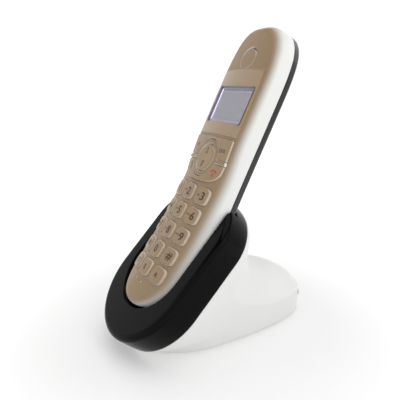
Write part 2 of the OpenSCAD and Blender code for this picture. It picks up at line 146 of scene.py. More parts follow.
def grow(points, amount):
    """Moves a closed outline outwards along its corner normals."""
    p = np.asarray(points, float)
    if area_2d(p) < 0:
        p = p[::-1]
    before, after = p - np.roll(p, 1, 0), np.roll(p, -1, 0) - p
    n1 = np.stack([before[:, 1], -before[:, 0]], 1)
    n2 = np.stack([after[:, 1], -after[:, 0]], 1)
    n1 /= np.linalg.norm(n1, axis=1)[:, None] + 1e-12
    n2 /= np.linalg.norm(n2, axis=1)[:, None] + 1e-12
    n = n1 + n2
    n /= np.linalg.norm(n, axis=1)[:, None] + 1e-12
    stretch = 1 / np.maximum(0.6, (n * n1).sum(1))
    return p + n * (amount * stretch)[:, None]


def resample(points, step):
    """A closed outline with points no further apart than step; corners stay."""
    p = np.asarray(points, float)
    out = []
    for a, b in zip(p, np.roll(p, -1, 0)):
        n = max(1, int(math.ceil(np.linalg.norm(b - a) / step)))
        out += [a + (b - a) * i / n for i in range(n)]
    return np.array(out)


def inside(points, polygon):
    x, y = points[:, 0][:, None], points[:, 1][:, None]
    x1, y1 = polygon[:, 0], polygon[:, 1]
    x2, y2 = np.roll(x1, -1), np.roll(y1, -1)
    crosses = ((y1 > y) != (y2 > y)) & (x < (x2 - x1) * (y - y1) / (y2 - y1 + 1e-12) + x1)
    return crosses.sum(1) % 2 == 1


def fill_region(outer, holes, spacing):
    """Triangles over a flat region. Boundary points come first, in the order given."""
    loops = [outer] + list(holes)
    boundary = np.concatenate(loops)
    edges, start = [], 0
    for loop in loops:
        n = len(loop)
        edges += [(start + i, start + (i + 1) % n) for i in range(n)]
        start += n
    low, high = outer.min(0), outer.max(0)
    xs = np.arange(low[0] + spacing / 2, high[0], spacing)
    ys = np.arange(low[1] + spacing / 2, high[1], spacing * 0.866)
    grid = np.array([(x + (spacing / 2 if j % 2 else 0), y) for j, y in enumerate(ys) for x in xs])
    if len(grid):
        keep = inside(grid, grow(outer, -0.45 * spacing))
        for hole in holes:
            keep &= ~inside(grid, grow(hole, 0.45 * spacing))
        grid = grid[keep]
    points = np.concatenate([boundary, grid]) if len(grid) else boundary
    verts, _, tris, origin, _, _ = delaunay_2d_cdt(
        [Vector(p) for p in points], edges, [], 0, 1e-5)
    verts = np.array([(v.x, v.y) for v in verts])
    index = np.full(len(verts), -1)
    for new, olds in enumerate(origin):
        if olds:
            index[new] = olds[0]
    tris = np.array([t for t in tris if len(t) == 3])
    centre = verts[tris].mean(1)
    keep = inside(centre, outer)
    for hole in holes:
        keep &= ~inside(centre, hole)
    tris = tris[keep]
    extra = np.where(index < 0)[0]
    points = np.concatenate([points, verts[extra]]) if len(extra) else points
    index[extra] = np.arange(len(points) - len(extra), len(points))
    return points, index[tris]


class Builder:
    """Collects rings and faces in one frame, then makes one object."""

    def __init__(self):
        self.verts, self.faces, self.count = [], [], 0

    def add(self, points):
        points = np.asarray(points, float)
        self.verts.append(points)
        start = self.count
        self.count += len(points)
        return np.arange(start, start + len(points))

    def strip(self, a, b, closed=True):
        n = len(a)
        for i in range(n if closed else n - 1):
            j = (i + 1) % n
            self.faces.append((a[i], a[j], b[j], b[i]))

    def cap(self, ring):
        self.faces.append(tuple(ring))

    def sweep(self, rings):
        """Solid through a row of rings, closed at both ends."""
        for a, b in zip(rings, rings[1:]):
            self.strip(a, b)
        self.cap(rings[0][::-1])
        self.cap(rings[-1])

    def triangles(self, ids, tris):
        self.faces += [tuple(ids[t]) for t in tris]

    def object(self, name, to_world, smooth_angle=35):
        return make_object(name, to_world(np.concatenate(self.verts)), self.faces, smooth_angle)


def lifted(points, height, drop=0.0):
    """Flat points raised to a height function, less a drop."""
    return np.column_stack([points, height(points[:, 0], points[:, 1]) - drop])


ROUND_EDGE = [(0.45, 0.0), (0.28, 0.03), (0.14, 0.11), (0.05, 0.24), (0.0, 0.42)]


# ------------------------------------------------------------------ handset surface

def smooth_step(a, b, x):
    t = np.clip((x - a) / (b - a), 0, 1)
    return t * t * (3 - 2 * t)


def face(v):
    return np.where(v < 55, (55 - v) ** 2 / 770, 0.0)


def handset_outline(per_side=46, per_end=110):
    """The handset seen from the keypad: round chin, squarer head; anticlockwise."""
    points = [(HALF_WIDTH, v) for v in np.linspace(LOW_CENTRE, HEAD_START, per_side, endpoint=False)]
    power = 2 / HEAD_POWER
    for t in np.linspace(0, math.pi, per_end, endpoint=False):
        # even spacing along the curve rather than along its parameter
        t = t - 0.24 * math.sin(4 * t) / 2
        x, y = math.cos(t), math.sin(t)
        points.append((HALF_WIDTH * math.copysign(abs(x) ** power, x),
                       HEAD_START + (HIGH_END - HEAD_START) * abs(y) ** power))
    points += [(-HALF_WIDTH, v) for v in np.linspace(HEAD_START, LOW_CENTRE, per_side, endpoint=False)]
    points += [(HALF_WIDTH * math.cos(t), LOW_CENTRE + HALF_WIDTH * math.sin(t))
               for t in np.linspace(math.pi, 2 * math.pi, 60, endpoint=False)]
    return np.array(points)


OUTLINE = handset_outline()


def stadium_ring(inset):
    """The outline moved inwards."""
    return grow(OUTLINE, -inset)


def edge_distance(u, v):
    """Distance inwards from the outline, exact to its chords."""
    shape = np.shape(u)
    p = np.column_stack([np.ravel(u), np.ravel(v)])
    a, b = OUTLINE, np.roll(OUTLINE, -1, 0)
    along = b - a
    length = (along ** 2).sum(1)
    best = np.full(len(p), 1e9)
    for i in range(len(a)):
        t = np.clip(((p - a[i]) @ along[i]) / length[i], 0, 1)
        best = np.minimum(best, ((p - a[i] - t[:, None] * along[i]) ** 2).sum(1))
    return np.sqrt(best).reshape(shape)


ROLL_WIDTH, ROLL_DEPTH, ROLL_POWER = 6.0, 7.0, 2.2
BACK_ROLL = 1.8


def roll(d):
    x = np.clip((ROLL_WIDTH - d) / ROLL_WIDTH, 0, 1)
    return ROLL_DEPTH * (1 - (1 - x ** ROLL_POWER) ** (1 / ROLL_POWER))


def crown(u, v):
    return u * u * (0.0093 + (0.0045 - 0.0093) * smooth_step(36, 65, v))


def front_height(u, v):
    u, v = np.asarray(u, float), np.asarray(v, float)
    return face(v) - crown(u, v) - roll(edge_distance(u, v))


def back_height(u, v):
    u, v = np.asarray(u, float), np.asarray(v, float)
    high = np.clip((v - 116) / (HIGH_END - 116), 0, 1)
    low = np.clip((-28 - v) / 13.6, 0, 1)
    rise = 1.8 * high ** 2.2 + 1.6 * low ** 2.2
    x = np.clip((BACK_ROLL - edge_distance(u, v)) / BACK_ROLL, 0, 1)
    return rise - BACK_DEPTH + 0.0006 * u * u + BACK_ROLL * (1 - np.sqrt(1 - x ** 2.2))


def seam_height(v):
    v = np.asarray(v, float)
    return -SEAM_DEPTH + 1.2 * np.clip((v - 118) / (HIGH_END - 118), 0, 1)


def circle(x, y, r, n=48):
    return np.array([(x + r * math.cos(t), y + r * math.sin(t))
                     for t in np.linspace(0, 2 * math.pi, n, endpoint=False)])


def squircle(x, y, a, b, power=3.6, n=64):
    t = np.linspace(0, 2 * math.pi, n, endpoint=False)
    c, s = np.cos(t), np.sin(t)
    return np.column_stack([x + a * np.sign(c) * np.abs(c) ** (2 / power),
                            y + b * np.sign(s) * np.abs(s) ** (2 / power)])


def rounded_box(x0, x1, y0, y1, r, steps=6):
    out = []
    for cx, cy, a0 in [(x1 - r, y1 - r, 0), (x0 + r, y1 - r, 90),
                       (x0 + r, y0 + r, 180), (x1 - r, y0 + r, 270)]:
        out += [(cx + r * math.cos(math.radians(a0 + 90 * i / steps)),
                 cy + r * math.sin(math.radians(a0 + 90 * i / steps))) for i in range(steps + 1)]
    return np.array(out)


def cluster_outline(amount=0.0):
    """Straight top with small corners, rounded foot."""
    side, top, corner = CLUSTER_SIDE + amount, CLUSTER_TOP + amount, 1.0
    foot = [(side * math.cos(t) ** 0.74, CLUSTER_TURN - (CLUSTER_DROP + amount) * math.sin(t) ** 0.74)
            for t in np.linspace(0, math.pi / 2, 24)]
    arc = [(side - corner + corner * math.cos(t), top - corner + corner * math.sin(t))
           for t in np.linspace(math.pi / 2, 0, 6)]
    right = arc + foot
    return np.array(right + [(-x, y) for x, y in reversed(right[:-1])])[::-1]


def key_outline(column, row, amount=0.0):
    return squircle(column * KEY_PITCH, KEY_ROWS[row],
                    KEY_SIZE[0] / 2 + amount, KEY_SIZE[1] / 2 + amount)


def cluster_part(side, upper):
    """Outline of one of the four keys round the navigation ring."""
    gap = 0.3
    edge = BRIDGE_HALF + gap
    limit = BRIDGE_V + (edge if upper else -edge)
    ring = RING_RADIUS + gap
    outline = cluster_outline()
    keep = (outline[:, 0] > gap / 2) & ((outline[:, 1] > limit) if upper else (outline[:, 1] < limit))
    rim = outline[keep]
    rim = rim[np.argsort(np.arctan2(rim[:, 1] - NAV_V, rim[:, 0]))]
    a_edge = math.asin((limit - NAV_V) / ring)
    a_mid = (1 if upper else -1) * math.acos(gap / 2 / ring)
    arc = [(ring * math.cos(a), NAV_V + ring * math.sin(a)) for a in np.linspace(a_mid, a_edge, 16)]
    if upper:
        points = [(CLUSTER_SIDE, limit)] + list(map(tuple, rim)) + [(gap / 2, CLUSTER_TOP)] + arc
    else:
        points = [(gap / 2, CLUSTER_TURN - CLUSTER_DROP)] + list(map(tuple, rim)) \
            + [(CLUSTER_SIDE, limit)] + arc[::-1]
    points = np.array(points)
    points[:, 0] *= side
    if area_2d(points) < 0:
        points = points[::-1]
    return resample(points, 0.8)


# ------------------------------------------------------------------ plates and shells

def plate(builder, outer, holes, height, thickness, spacing=1.1, under_spacing=2.4):
    """Top and underside of a plate. A hole is (outline, lip, shelf): lip is its rounded edge, and
    shelf is None or (depth, inner outline). Returns the outer loops of the top and the underside."""
    top_points, tris = fill_region(outer, [grow(h[0], h[1][0][0]) for h in holes], spacing)
    top = builder.add(lifted(top_points, height))
    builder.triangles(top, tris)
    inner_loops = [h[2][1] if h[2] else h[0] for h in holes]
    low_points, low_tris = fill_region(outer, inner_loops, under_spacing)
    low = builder.add(lifted(low_points, height, thickness))
    builder.triangles(low, low_tris)
    top_start = low_start = len(outer)
    for (outline, lip, shelf), inner in zip(holes, inner_loops):
        ring = top[top_start:top_start + len(outline)]
        top_start += len(outline)
        for inset, drop in lip[1:]:
            nxt = builder.add(lifted(grow(outline, inset), height, drop))
            builder.strip(ring, nxt)
            ring = nxt
        if shelf:
            points, shelf_tris = fill_region(grow(outline, 0), [inner], 2.0)
            ids = builder.add(lifted(points, height, shelf[0]))
            builder.triangles(ids, shelf_tris)
            builder.strip(ring, ids[:len(outline)])
            ring = ids[len(outline):len(outline) + len(inner)]
        builder.strip(ring, low[low_start:low_start + len(inner)])
        low_start += len(inner)
    return top[:len(outer)], low[:len(outer)]


def slab(outer, holes, height, thickness, edge=ROUND_EDGE, spacing=1.1, builder=None):
    """A closed plate that follows a height function, with a rounded rim."""
    builder = builder or Builder()
    outer = grow(outer, 0)
    top, low = plate(builder, grow(outer, -edge[0][0]), holes, height, thickness, spacing)
    ring = top
    for inset, drop in edge[1:]:
        nxt = builder.add(lifted(grow(outer, -inset), height, drop))
        builder.strip(ring, nxt)
        ring = nxt
    foot = builder.add(lifted(outer, height, thickness))
    builder.strip(ring, foot)
    builder.strip(foot, low)
    return builder


SEAM_LIP = 0.35


def half_shell(height, seam, holes, start_inset, insets, thickness, wall, spacing):
    """One half of the handset's casing: face, rounded rim, side wall, and the inner surface."""
    builder = Builder()
    loop = stadium_ring(start_inset)
    top, low = plate(builder, loop, holes, height, thickness, spacing)
    ring = top
    for inset in insets:
        nxt = builder.add(lifted(stadium_ring(inset), height))
        builder.strip(ring, nxt)
        ring = nxt
    rim = stadium_ring(0)
    rim_height = height(rim[:, 0], rim[:, 1])
    foot = seam(rim[:, 1])
    for share in (0.4, 0.75, 1.0):
        drop = (rim_height - foot - SEAM_LIP) * share
        nxt = builder.add(np.column_stack([rim, rim_height - drop]))
        builder.strip(ring, nxt)
        ring = nxt
    for inset in (SEAM_LIP, wall):
        nxt = builder.add(np.column_stack([stadium_ring(inset), foot + 0.06]))
        builder.strip(ring, nxt)
        ring = nxt
    shoulder = height(loop[:, 0], loop[:, 1]) - thickness - 1.2
    nxt = builder.add(np.column_stack([stadium_ring(wall), np.maximum(shoulder, foot + 0.3)]))
    builder.strip(ring, nxt)
    builder.strip(nxt, low)
    return builder


def cut(obj, cutter, operation="DIFFERENCE"):
    """Exact boolean of one object with another, which is then removed."""
    modifier = obj.modifiers.new("cut", "BOOLEAN")
    modifier.operation = operation
    modifier.solver = "EXACT"
    modifier.object = cutter
    bpy.context.view_layer.update()
    mesh = bpy.data.meshes.new_from_object(obj.evaluated_get(bpy.context.evaluated_depsgraph_get()))
    obj.modifiers.clear()
    obj.data = mesh
    bpy.data.objects.remove(cutter)
    return obj


def weighted_normals(obj, sharp=30):
    obj.data.shade_smooth()
    obj.data.set_sharp_from_angle(angle=math.radians(sharp))
    modifier = obj.modifiers.new("normals", "WEIGHTED_NORMAL")
    modifier.keep_sharp = True
    modifier.weight = 80
    return obj


def prism(points, low, high):
    """Closed prism over an outline; low and high are numbers or one height per point."""
    builder = Builder()
    n = len(points)
    bottom = builder.add(np.column_stack([points, np.broadcast_to(low, n)]))
    top = builder.add(np.column_stack([points, np.broadcast_to(high, n)]))
    builder.strip(bottom, top)
    builder.cap(bottom[::-1])
    builder.cap(top)
    return builder


def box_cutter(name, x, y, z, to_world):
    outline = np.array([(x[0], y[0]), (x[1], y[0]), (x[1], y[1]), (x[0], y[1])])
    return prism(outline, z[0], z[1]).object(name, to_world)


def world_mm(points):
    return np.asarray(points, float) * MM


def behind(points):
    """Handset frame seen from the back: the third value is the depth behind the face."""
    p = np.array(points, float)
    p[:, 2] *= -1
    return docked(p)


# ------------------------------------------------------------------ materials

# Painted shade: the handset is white plastic; this tan is how its face looks in the dim warm light that
# falls on it.
SHADED_FACE_TAN = (0.238, 0.158, 0.086)
WHITE = (0.72, 0.725, 0.707)


class Nodes:
    """Short helper that builds a node material."""

    def __init__(self, name):
        self.material = bpy.data.materials.new(name)
        self.material.use_nodes = True
        self.tree = self.material.node_tree
        self.shader = self.tree.nodes["Principled BSDF"]
        self.coords = self.tree.nodes.new("ShaderNodeTexCoord")

    def new(self, kind, **settings):
        node = self.tree.nodes.new(kind)
        for key, value in settings.items():
            setattr(node, key, value)
        return node

    def link(self, a, b):
        self.tree.links.new(a, b)

    def noise(self, scale, detail=3.0, roughness=0.55):
        node = self.new("ShaderNodeTexNoise")
        node.inputs["Scale"].default_value = scale
        node.inputs["Detail"].default_value = detail
        node.inputs["Roughness"].default_value = roughness
        self.link(self.coords.outputs["Object"], node.inputs["Vector"])
        return node.outputs["Fac"]

    def spread(self, source, low, high, from_low=0.3, from_high=0.7, smooth=False):
        node = self.new("ShaderNodeMapRange")
        if smooth:
            node.interpolation_type = "SMOOTHSTEP"
        node.inputs["From Min"].default_value = from_low
        node.inputs["From Max"].default_value = from_high
        node.inputs["To Min"].default_value = low
        node.inputs["To Max"].default_value = high
        self.link(source, node.inputs["Value"])
        return node.outputs["Result"]

    def mix(self, factor, a, b):
        node = self.new("ShaderNodeMix", data_type="RGBA")
        self.link(factor, node.inputs["Factor"])
        for name, value in (("A_Color", a), ("B_Color", b)):
            socket = next(s for s in node.inputs if s.identifier == name)
            if isinstance(value, tuple):
                socket.default_value = (*value, 1)
            else:
                self.link(value, socket)
        return next(s for s in node.outputs if s.identifier == "Result_Color")

    def bump(self, source, distance, strength=0.5):
        node = self.new("ShaderNodeBump")
        node.inputs["Strength"].default_value = strength
        node.inputs["Distance"].default_value = distance
        self.link(source, node.inputs["Height"])
        self.link(node.outputs["Normal"], self.shader.inputs["Normal"])

    def facing(self, direction):
        """How far the surface faces a direction of the object's own frame."""
        node = self.new("ShaderNodeVectorMath", operation="DOT_PRODUCT")
        self.link(self.coords.outputs["Normal"], node.inputs[0])
        node.inputs[1].default_value = tuple(direction)
        return node.outputs["Value"]

    def set(self, **values):
        for key, value in values.items():
            socket = self.shader.inputs[key.replace("_", " ")]
            socket.default_value = (*value, 1) if isinstance(value, tuple) and len(value) == 3 else value


def shade(colour, factor):
    return tuple(c * factor for c in colour)


def plastic(name, colour, roughness, variation=0.06, grain=1600, grain_depth=0.00001,
            smudge=0.06, **settings):
    """Moulded plastic: slight tone drift, fine moulded grain, and uneven polish."""
    n = Nodes(name)
    tone = n.mix(n.spread(n.noise(38, 4), 0, 1), shade(colour, 1 - variation), shade(colour, 1 + variation))
    n.link(tone, n.shader.inputs["Base Color"])
    n.link(n.spread(n.noise(95, 5, 0.6), roughness - smudge, roughness + smudge),
           n.shader.inputs["Roughness"])
    n.bump(n.noise(grain, 2), grain_depth)
    n.set(**settings)
    return n.material


def shade_by_facing(name, top, side, roughness, start, end, grain=1700, **settings):
    """Painted shade: one colour where the surface faces out of the keypad, standing in for the dim warm
    light on the face of the white plastic, and another at the sides, where the strong light falls.
    """
    n = Nodes(name)
    fine = n.spread(n.noise(46, 4), 0, 1)
    face_tone = n.mix(fine, shade(top, 0.96), shade(top, 1.04))
    side_tone = n.mix(fine, shade(side, 0.985), shade(side, 1.0))
    outward = n.spread(n.facing(OUT), 0, 1, start, end, smooth=True)
    n.link(n.mix(outward, side_tone, face_tone), n.shader.inputs["Base Color"])
    n.link(n.spread(n.noise(120, 5, 0.6), roughness - 0.05, roughness + 0.05),
           n.shader.inputs["Roughness"])
    n.bump(n.noise(grain, 2), 0.000008)
    n.set(**settings)
    return n.material


def metal(name, colour, roughness):
    """Plated metal with faint drawing lines."""
    n = Nodes(name)
    n.link(n.mix(n.spread(n.noise(180, 4), 0, 1), shade(colour, 0.85), colour),
           n.shader.inputs["Base Color"])
    n.link(n.spread(n.noise(420, 3), roughness - 0.08, roughness + 0.08), n.shader.inputs["Roughness"])
    wave = n.new("ShaderNodeTexWave")
    wave.inputs["Scale"].default_value = 900
    wave.inputs["Distortion"].default_value = 2
    n.link(n.coords.outputs["Object"], wave.inputs["Vector"])
    n.bump(wave.outputs["Fac"], 0.000006, 0.3)
    n.set(Metallic=1.0)
    return n.material


def circuit_board(name):
    """Green solder mask with faint copper tracks under it."""
    n = Nodes(name)
    brick = n.new("ShaderNodeTexBrick")
    brick.inputs["Scale"].default_value = 260
    brick.inputs["Mortar Size"].default_value = 0.05
    brick.inputs["Color1"].default_value = (0.012, 0.09, 0.035, 1)
    brick.inputs["Color2"].default_value = (0.015, 0.11, 0.045, 1)
    brick.inputs["Mortar"].default_value = (0.05, 0.22, 0.09, 1)
    n.link(n.coords.outputs["Object"], brick.inputs["Vector"])
    n.link(brick.outputs["Color"], n.shader.inputs["Base Color"])
    n.link(n.spread(n.noise(200), 0.25, 0.4), n.shader.inputs["Roughness"])
    n.bump(brick.outputs["Fac"], 0.00003)
    return n.material


def cell_wrap(name):
    """Shrink sleeve of a rechargeable cell: green with a paler band round it."""
    n = Nodes(name)
    bands = n.new("ShaderNodeTexNoise")
    bands.inputs["Scale"].default_value = 60
    n.link(n.coords.outputs["Object"], bands.inputs["Vector"])
    n.link(n.mix(n.spread(bands.outputs["Fac"], 0, 1, 0.45, 0.55), (0.10, 0.32, 0.06), (0.14, 0.40, 0.09)),
           n.shader.inputs["Base Color"])
    n.bump(n.noise(700), 0.00002)
    n.set(Roughness=0.32)
    return n.material


def clear_pane(name):
    """Thin clear window, almost invisible but for its gloss."""
    n = Nodes(name)
    n.link(n.mix(n.noise(60), (0.60, 0.62, 0.68), (0.66, 0.68, 0.74)), n.shader.inputs["Base Color"])
    n.link(n.spread(n.noise(300), 0.04, 0.1), n.shader.inputs["Roughness"])
    n.set(Alpha=0.12)
    return n.material


def liquid_crystal(name, colour, lines):
    """Reflective display: even tint with the fine lines of its segments."""
    n = Nodes(name)
    wave = n.new("ShaderNodeTexWave", bands_direction="X")
    wave.inputs["Scale"].default_value = lines
    n.link(n.coords.outputs["Object"], wave.inputs["Vector"])
    n.link(n.mix(n.spread(wave.outputs["Fac"], 0, 1, 0, 1), shade(colour, 0.97), shade(colour, 1.03)),
           n.shader.inputs["Base Color"])
    n.link(n.spread(n.noise(80), 0.16, 0.24), n.shader.inputs["Roughness"])
    # Painted light: a faint emission brightens the display, which only reflects light.
    n.set(Emission_Color=colour, Emission_Strength=0.1)
    return n.material


def glow(name, colour, strength):
    """Lit plastic edge of the display."""
    n = Nodes(name)
    n.link(n.mix(n.noise(120), shade(colour, 0.9), colour), n.shader.inputs["Base Color"])
    n.set(Emission_Color=colour, Emission_Strength=strength, Roughness=0.4)
    return n.material


M = {
    # Painted shade: face, keys, ring, bars and earpiece cap are white plastic, coloured tan where they face
    # out of the keypad for the dim warm light there.
    "face": shade_by_facing("handset_painted_shade", SHADED_FACE_TAN, WHITE, 0.34, 0.24, 0.985, Specular_IOR_Level=0.4),
    "key": shade_by_facing("key_paint", shade(SHADED_FACE_TAN, 1.1), (0.55, 0.46, 0.36), 0.3, 0.3, 0.9,
                    Specular_IOR_Level=0.5),
    # Painted shade: the lens is coloured tan for the dim warm light on the face.
    "lens": plastic("lens_painted_shade", shade(SHADED_FACE_TAN, 1.12), 0.14, 0.02, 400, 0.000002, 0.04, Coat_Weight=0.5),
    "white": plastic("white_plastic", WHITE, 0.42, 0.012, 1500, 0.00001, 0.05,
                     Specular_IOR_Level=0.35),
    "cup": plastic("black_gloss", (0.002, 0.002, 0.002), 0.13, 0.1, 500, 0.000002, 0.05,
                   Specular_IOR_Level=0.07),
    "back": plastic("handset_black", (0.010, 0.010, 0.010), 0.13, 0.1, 500, 0.000002, 0.04,
                    Specular_IOR_Level=0.5),
    "rubber": plastic("rubber", (0.03, 0.03, 0.032), 0.8, 0.15, 900, 0.00004, Specular_IOR_Level=0.2),
    "membrane": plastic("silicone", (0.62, 0.60, 0.57), 0.6, 0.05, 700, 0.00002),
    "board": circuit_board("circuit_board"),
    "steel": metal("plated_steel", (0.62, 0.62, 0.61), 0.32),
    "gold": metal("gold_plating", (0.83, 0.60, 0.25), 0.24),
    "socket": plastic("socket_plastic", (0.035, 0.035, 0.037), 0.45, 0.1, 1200, 0.00002),
    "wrap": cell_wrap("cell_wrap"),
    "grey": plastic("grey_key", (0.42, 0.42, 0.41), 0.4, 0.04, 1400, 0.00001),
    "diffuser": plastic("backlight_diffuser", (0.78, 0.80, 0.84), 0.5, 0.03, 800, 0.00001),
    "recess": plastic("display_recess", (0.10, 0.10, 0.125), 0.45, 0.1, 900, 0.00001),
    "pane": clear_pane("display_pane"),
    "lcd_edge": liquid_crystal("lcd_border", (0.30, 0.27, 0.38), 40),
    "lcd": liquid_crystal("lcd_active", (0.19, 0.177, 0.205), 300),
    "lcd_dark": plastic("lcd_bar", (0.075, 0.075, 0.11), 0.3, 0.1, 900, 0.00001),
    "glow": glow("lcd_edge_light", (0.75, 0.62, 1.0), 1.3),
    "ink": plastic("printed_ink", (0.035, 0.022, 0.016), 0.5, 0.15, 2500, 0.00001),
    "faint_ink": plastic("faint_ink", (0.13, 0.085, 0.055), 0.5, 0.15, 2500, 0.00001),
    "green": plastic("green_ink", (0.012, 0.10, 0.02), 0.45, 0.15, 2500, 0.00001),
    "red": plastic("red_ink", (0.35, 0.02, 0.02), 0.45, 0.15, 2500, 0.00001),
}


# ------------------------------------------------------------------ handset

KEY_EDGE = [(1.1, 0.0), (0.85, 0.05), (0.6, 0.15), (0.36, 0.32), (0.17, 0.56), (0.05, 0.86), (0.0, 1.2)]
LIP = [(0.5, 0.0), (0.3, 0.04), (0.12, 0.16), (0.0, 0.42)]
FINE_LIP = [(0.2, 0.0), (0.1, 0.02), (0.03, 0.08), (0.0, 0.18)]


def raised(amount):
    """Height function that follows the face, an amount above it."""
    return lambda u, v: front_height(u, v) + amount


def flat(level):
    """Height function that is the same everywhere."""
    return lambda u, v: np.full(np.shape(u), float(level))


def lens_outline(amount=0.0):
    return resample(rounded_box(-LENS_HALF - amount, LENS_HALF + amount, LENS_LOW - amount,
                                LENS_HIGH + amount, 0.8), 1.1)


def window_outline(amount=0.0):
    return resample(rounded_box(-WINDOW[0] - amount, WINDOW[0] + amount, WINDOW[1] - amount,
                                WINDOW[2] + amount, 0.6), 1.1)


def front_shell():
    holes = [(key_outline(c, r, 0.25), LIP, None) for r in range(5) for c in (-1, 0, 1)]
    holes.append((resample(cluster_outline(0.3), 0.9), FINE_LIP, None))
    holes.append((lens_outline(0.12), FINE_LIP, (0.95, window_outline())))
    holes.append((circle(0, EAR_V, EAR_RADIUS), FINE_LIP, (1.5, circle(0, EAR_V, EAR_RADIUS - 0.6))))
    holes += [(circle(x, -27.8, 0.5, 16), FINE_LIP, None) for x in (-3.3, 3.3)]
    insets = [2.9, 2.6, 2.3, 2.0, 1.7, 1.4, 1.15, 0.9, 0.68, 0.48, 0.32, 0.18, 0.08, 0.02, 0.0]
    builder = half_shell(front_height, seam_height, holes, 3.2, insets, 2.2, 2.0, 1.15)
    shell = builder.object("handset_front_cover", docked)
    contacts = prism(np.array([(-9.2, -45), (-4.8, -45), (-4.8, -38.8), (-9.2, -38.8)]), -11.7, -6.3)
    other = prism(np.array([(4.8, -45), (9.2, -45), (9.2, -38.8), (4.8, -38.8)]), -11.7, -6.3)
    cut(shell, contacts.object("contact_cutter_left", docked))
    cut(shell, other.object("contact_cutter_right", docked))
    shell.data.shade_smooth()
    shell.data.set_sharp_from_angle(angle=math.radians(38))
    return place(shell, "handset", "champagne", M["face"], "handset_front_shell")


def back_shell():
    def height(u, v):
        return -back_height(u, v)

    def seam(v):
        return -seam_height(v)

    bed = resample(rounded_box(-DOOR[0], DOOR[0], DOOR[1] - DOOR_RECESS, DOOR[2], 1.6), 1.5)
    bay = resample(rounded_box(-11, 11, -24, 25, 0.5), 1.5)
    holes = [(bed, FINE_LIP, (1.45, bay))]
    holes += [(circle(x, y, 2.2, 28), FINE_LIP, (1.7, circle(x, y, 1.2, 20))) for x, y in BOSSES]
    insets = [1.75, 1.6, 1.4, 1.2, 1.0, 0.8, 0.62, 0.46, 0.32, 0.2, 0.1, 0.04, 0.01, 0.0]
    builder = half_shell(height, seam, holes, 1.9, insets, 2.0, 1.6, 1.6)
    shell = builder.object("handset_back_cover", behind)
    return place(shell, "handset", "handset_black", M["back"], "handset_back_shell")


def battery_door():
    """Door with a raised thumb grip of five ribs near its lower end."""
    rib_half, rib_pitch, rib_first = 6.5, 1.7, -22.5

    def height(u, v):
        ribs = sum(np.exp(-((v - rib_first - i * rib_pitch) / 0.42) ** 2) for i in range(5))
        across = 1 - smooth_step(rib_half - 1.2, rib_half, np.abs(u))
        return -back_height(u, v) + 0.35 * ribs * across

    outline = resample(rounded_box(-14.8, 14.8, DOOR[1] + 0.2, DOOR[2] - 0.2, 1.5), 0.8)
    door = slab(outline, [], height, 1.25, FINE_LIP, 0.55).object("battery_cover", behind)
    return place(door, "battery_door", "handset_black", M["back"], "battery_door")


def screen_and_lens():
    lens = slab(lens_outline(), [(window_outline(), FINE_LIP, None)], raised(-0.02), 0.8, FINE_LIP,
                1.4).object("lens_bezel", docked)
    place(lens, "handset", "lens", M["lens"], "display_lens")
    pane = slab(window_outline(-0.05), [], raised(-0.08), 0.5, FINE_LIP, 2.0)
    place(pane.object("lens_window", docked), "handset", "lens", M["pane"])
    # recess walls between the lens and the glass
    walls = Builder()
    inner = window_outline(-0.02)
    outer = grow(inner, 0.6)
    levels = [walls.add(np.column_stack([ring, np.full(len(ring), w)]))
              for ring, w in ((outer, -1.0), (inner, -1.0), (inner, -3.6), (outer, -3.6))]
    for a, b in zip(levels, levels[1:] + levels[:1]):
        walls.strip(a, b)
    place(walls.object("display_recess", docked), "handset", "socket", M["recess"])
    glass = slab(resample(rounded_box(-16.2, 16.2, 72.85, 94.15, 0.4), 2), [], flat(-2.1), 1.65,
                 FINE_LIP, 3)
    slab(resample(rounded_box(-18, 18, 70.05, 96.95, 0.5), 2), [], flat(-3.75), 1.15, FINE_LIP, 3,
         glass)
    place(glass.object("lcd_glass", docked), "handset", "lcd", M["lcd_edge"], "lcd_panel")
    active = slab(resample(rounded_box(-13.4, 14.2, 74.4, 91.6, 1.0), 1.5), [], flat(-2.06), 0.08,
                  [(0.05, 0), (0, 0.04)], 3)
    place(active.object("lcd_active_area", docked), "handset", "lcd", M["lcd"])
    bar = slab(resample(rounded_box(-14.6, 15.4, 92.3, 93.6, 0.3), 1.5), [], flat(-2.06), 0.08,
               [(0.05, 0), (0, 0.04)], 3)
    place(bar.object("lcd_top_bar", docked), "handset", "lcd", M["lcd_dark"])
    light = slab(resample(rounded_box(-15.7, -14.9, 74.0, 93.4, 0.35), 1.5), [], flat(-2.06), 0.08,
                 [(0.05, 0), (0, 0.04)], 3)
    place(light.object("lcd_edge_light", docked), "handset", "diffuser", M["glow"])


def keys():
    names = [["key_1", "key_2", "key_3"], ["key_4", "key_5", "key_6"], ["key_7", "key_8", "key_9"],
             ["key_star", "key_0", "key_hash"], ["key_redial", "key_mute", "key_recall"]]
    for r, row in enumerate(names):
        for c, name in enumerate(row):
            cap = slab(key_outline(c - 1, r), [], raised(KEY_PROUD), KEY_PROUD + KEY_DEPTH,
                       KEY_EDGE, 0.8)
            place(cap.object(name + "_cap", docked), name, "champagne", M["key"], name)


CLUSTER_EDGE = [(0.6, 0.0), (0.4, 0.05), (0.2, 0.18), (0.06, 0.38), (0.0, 0.62)]


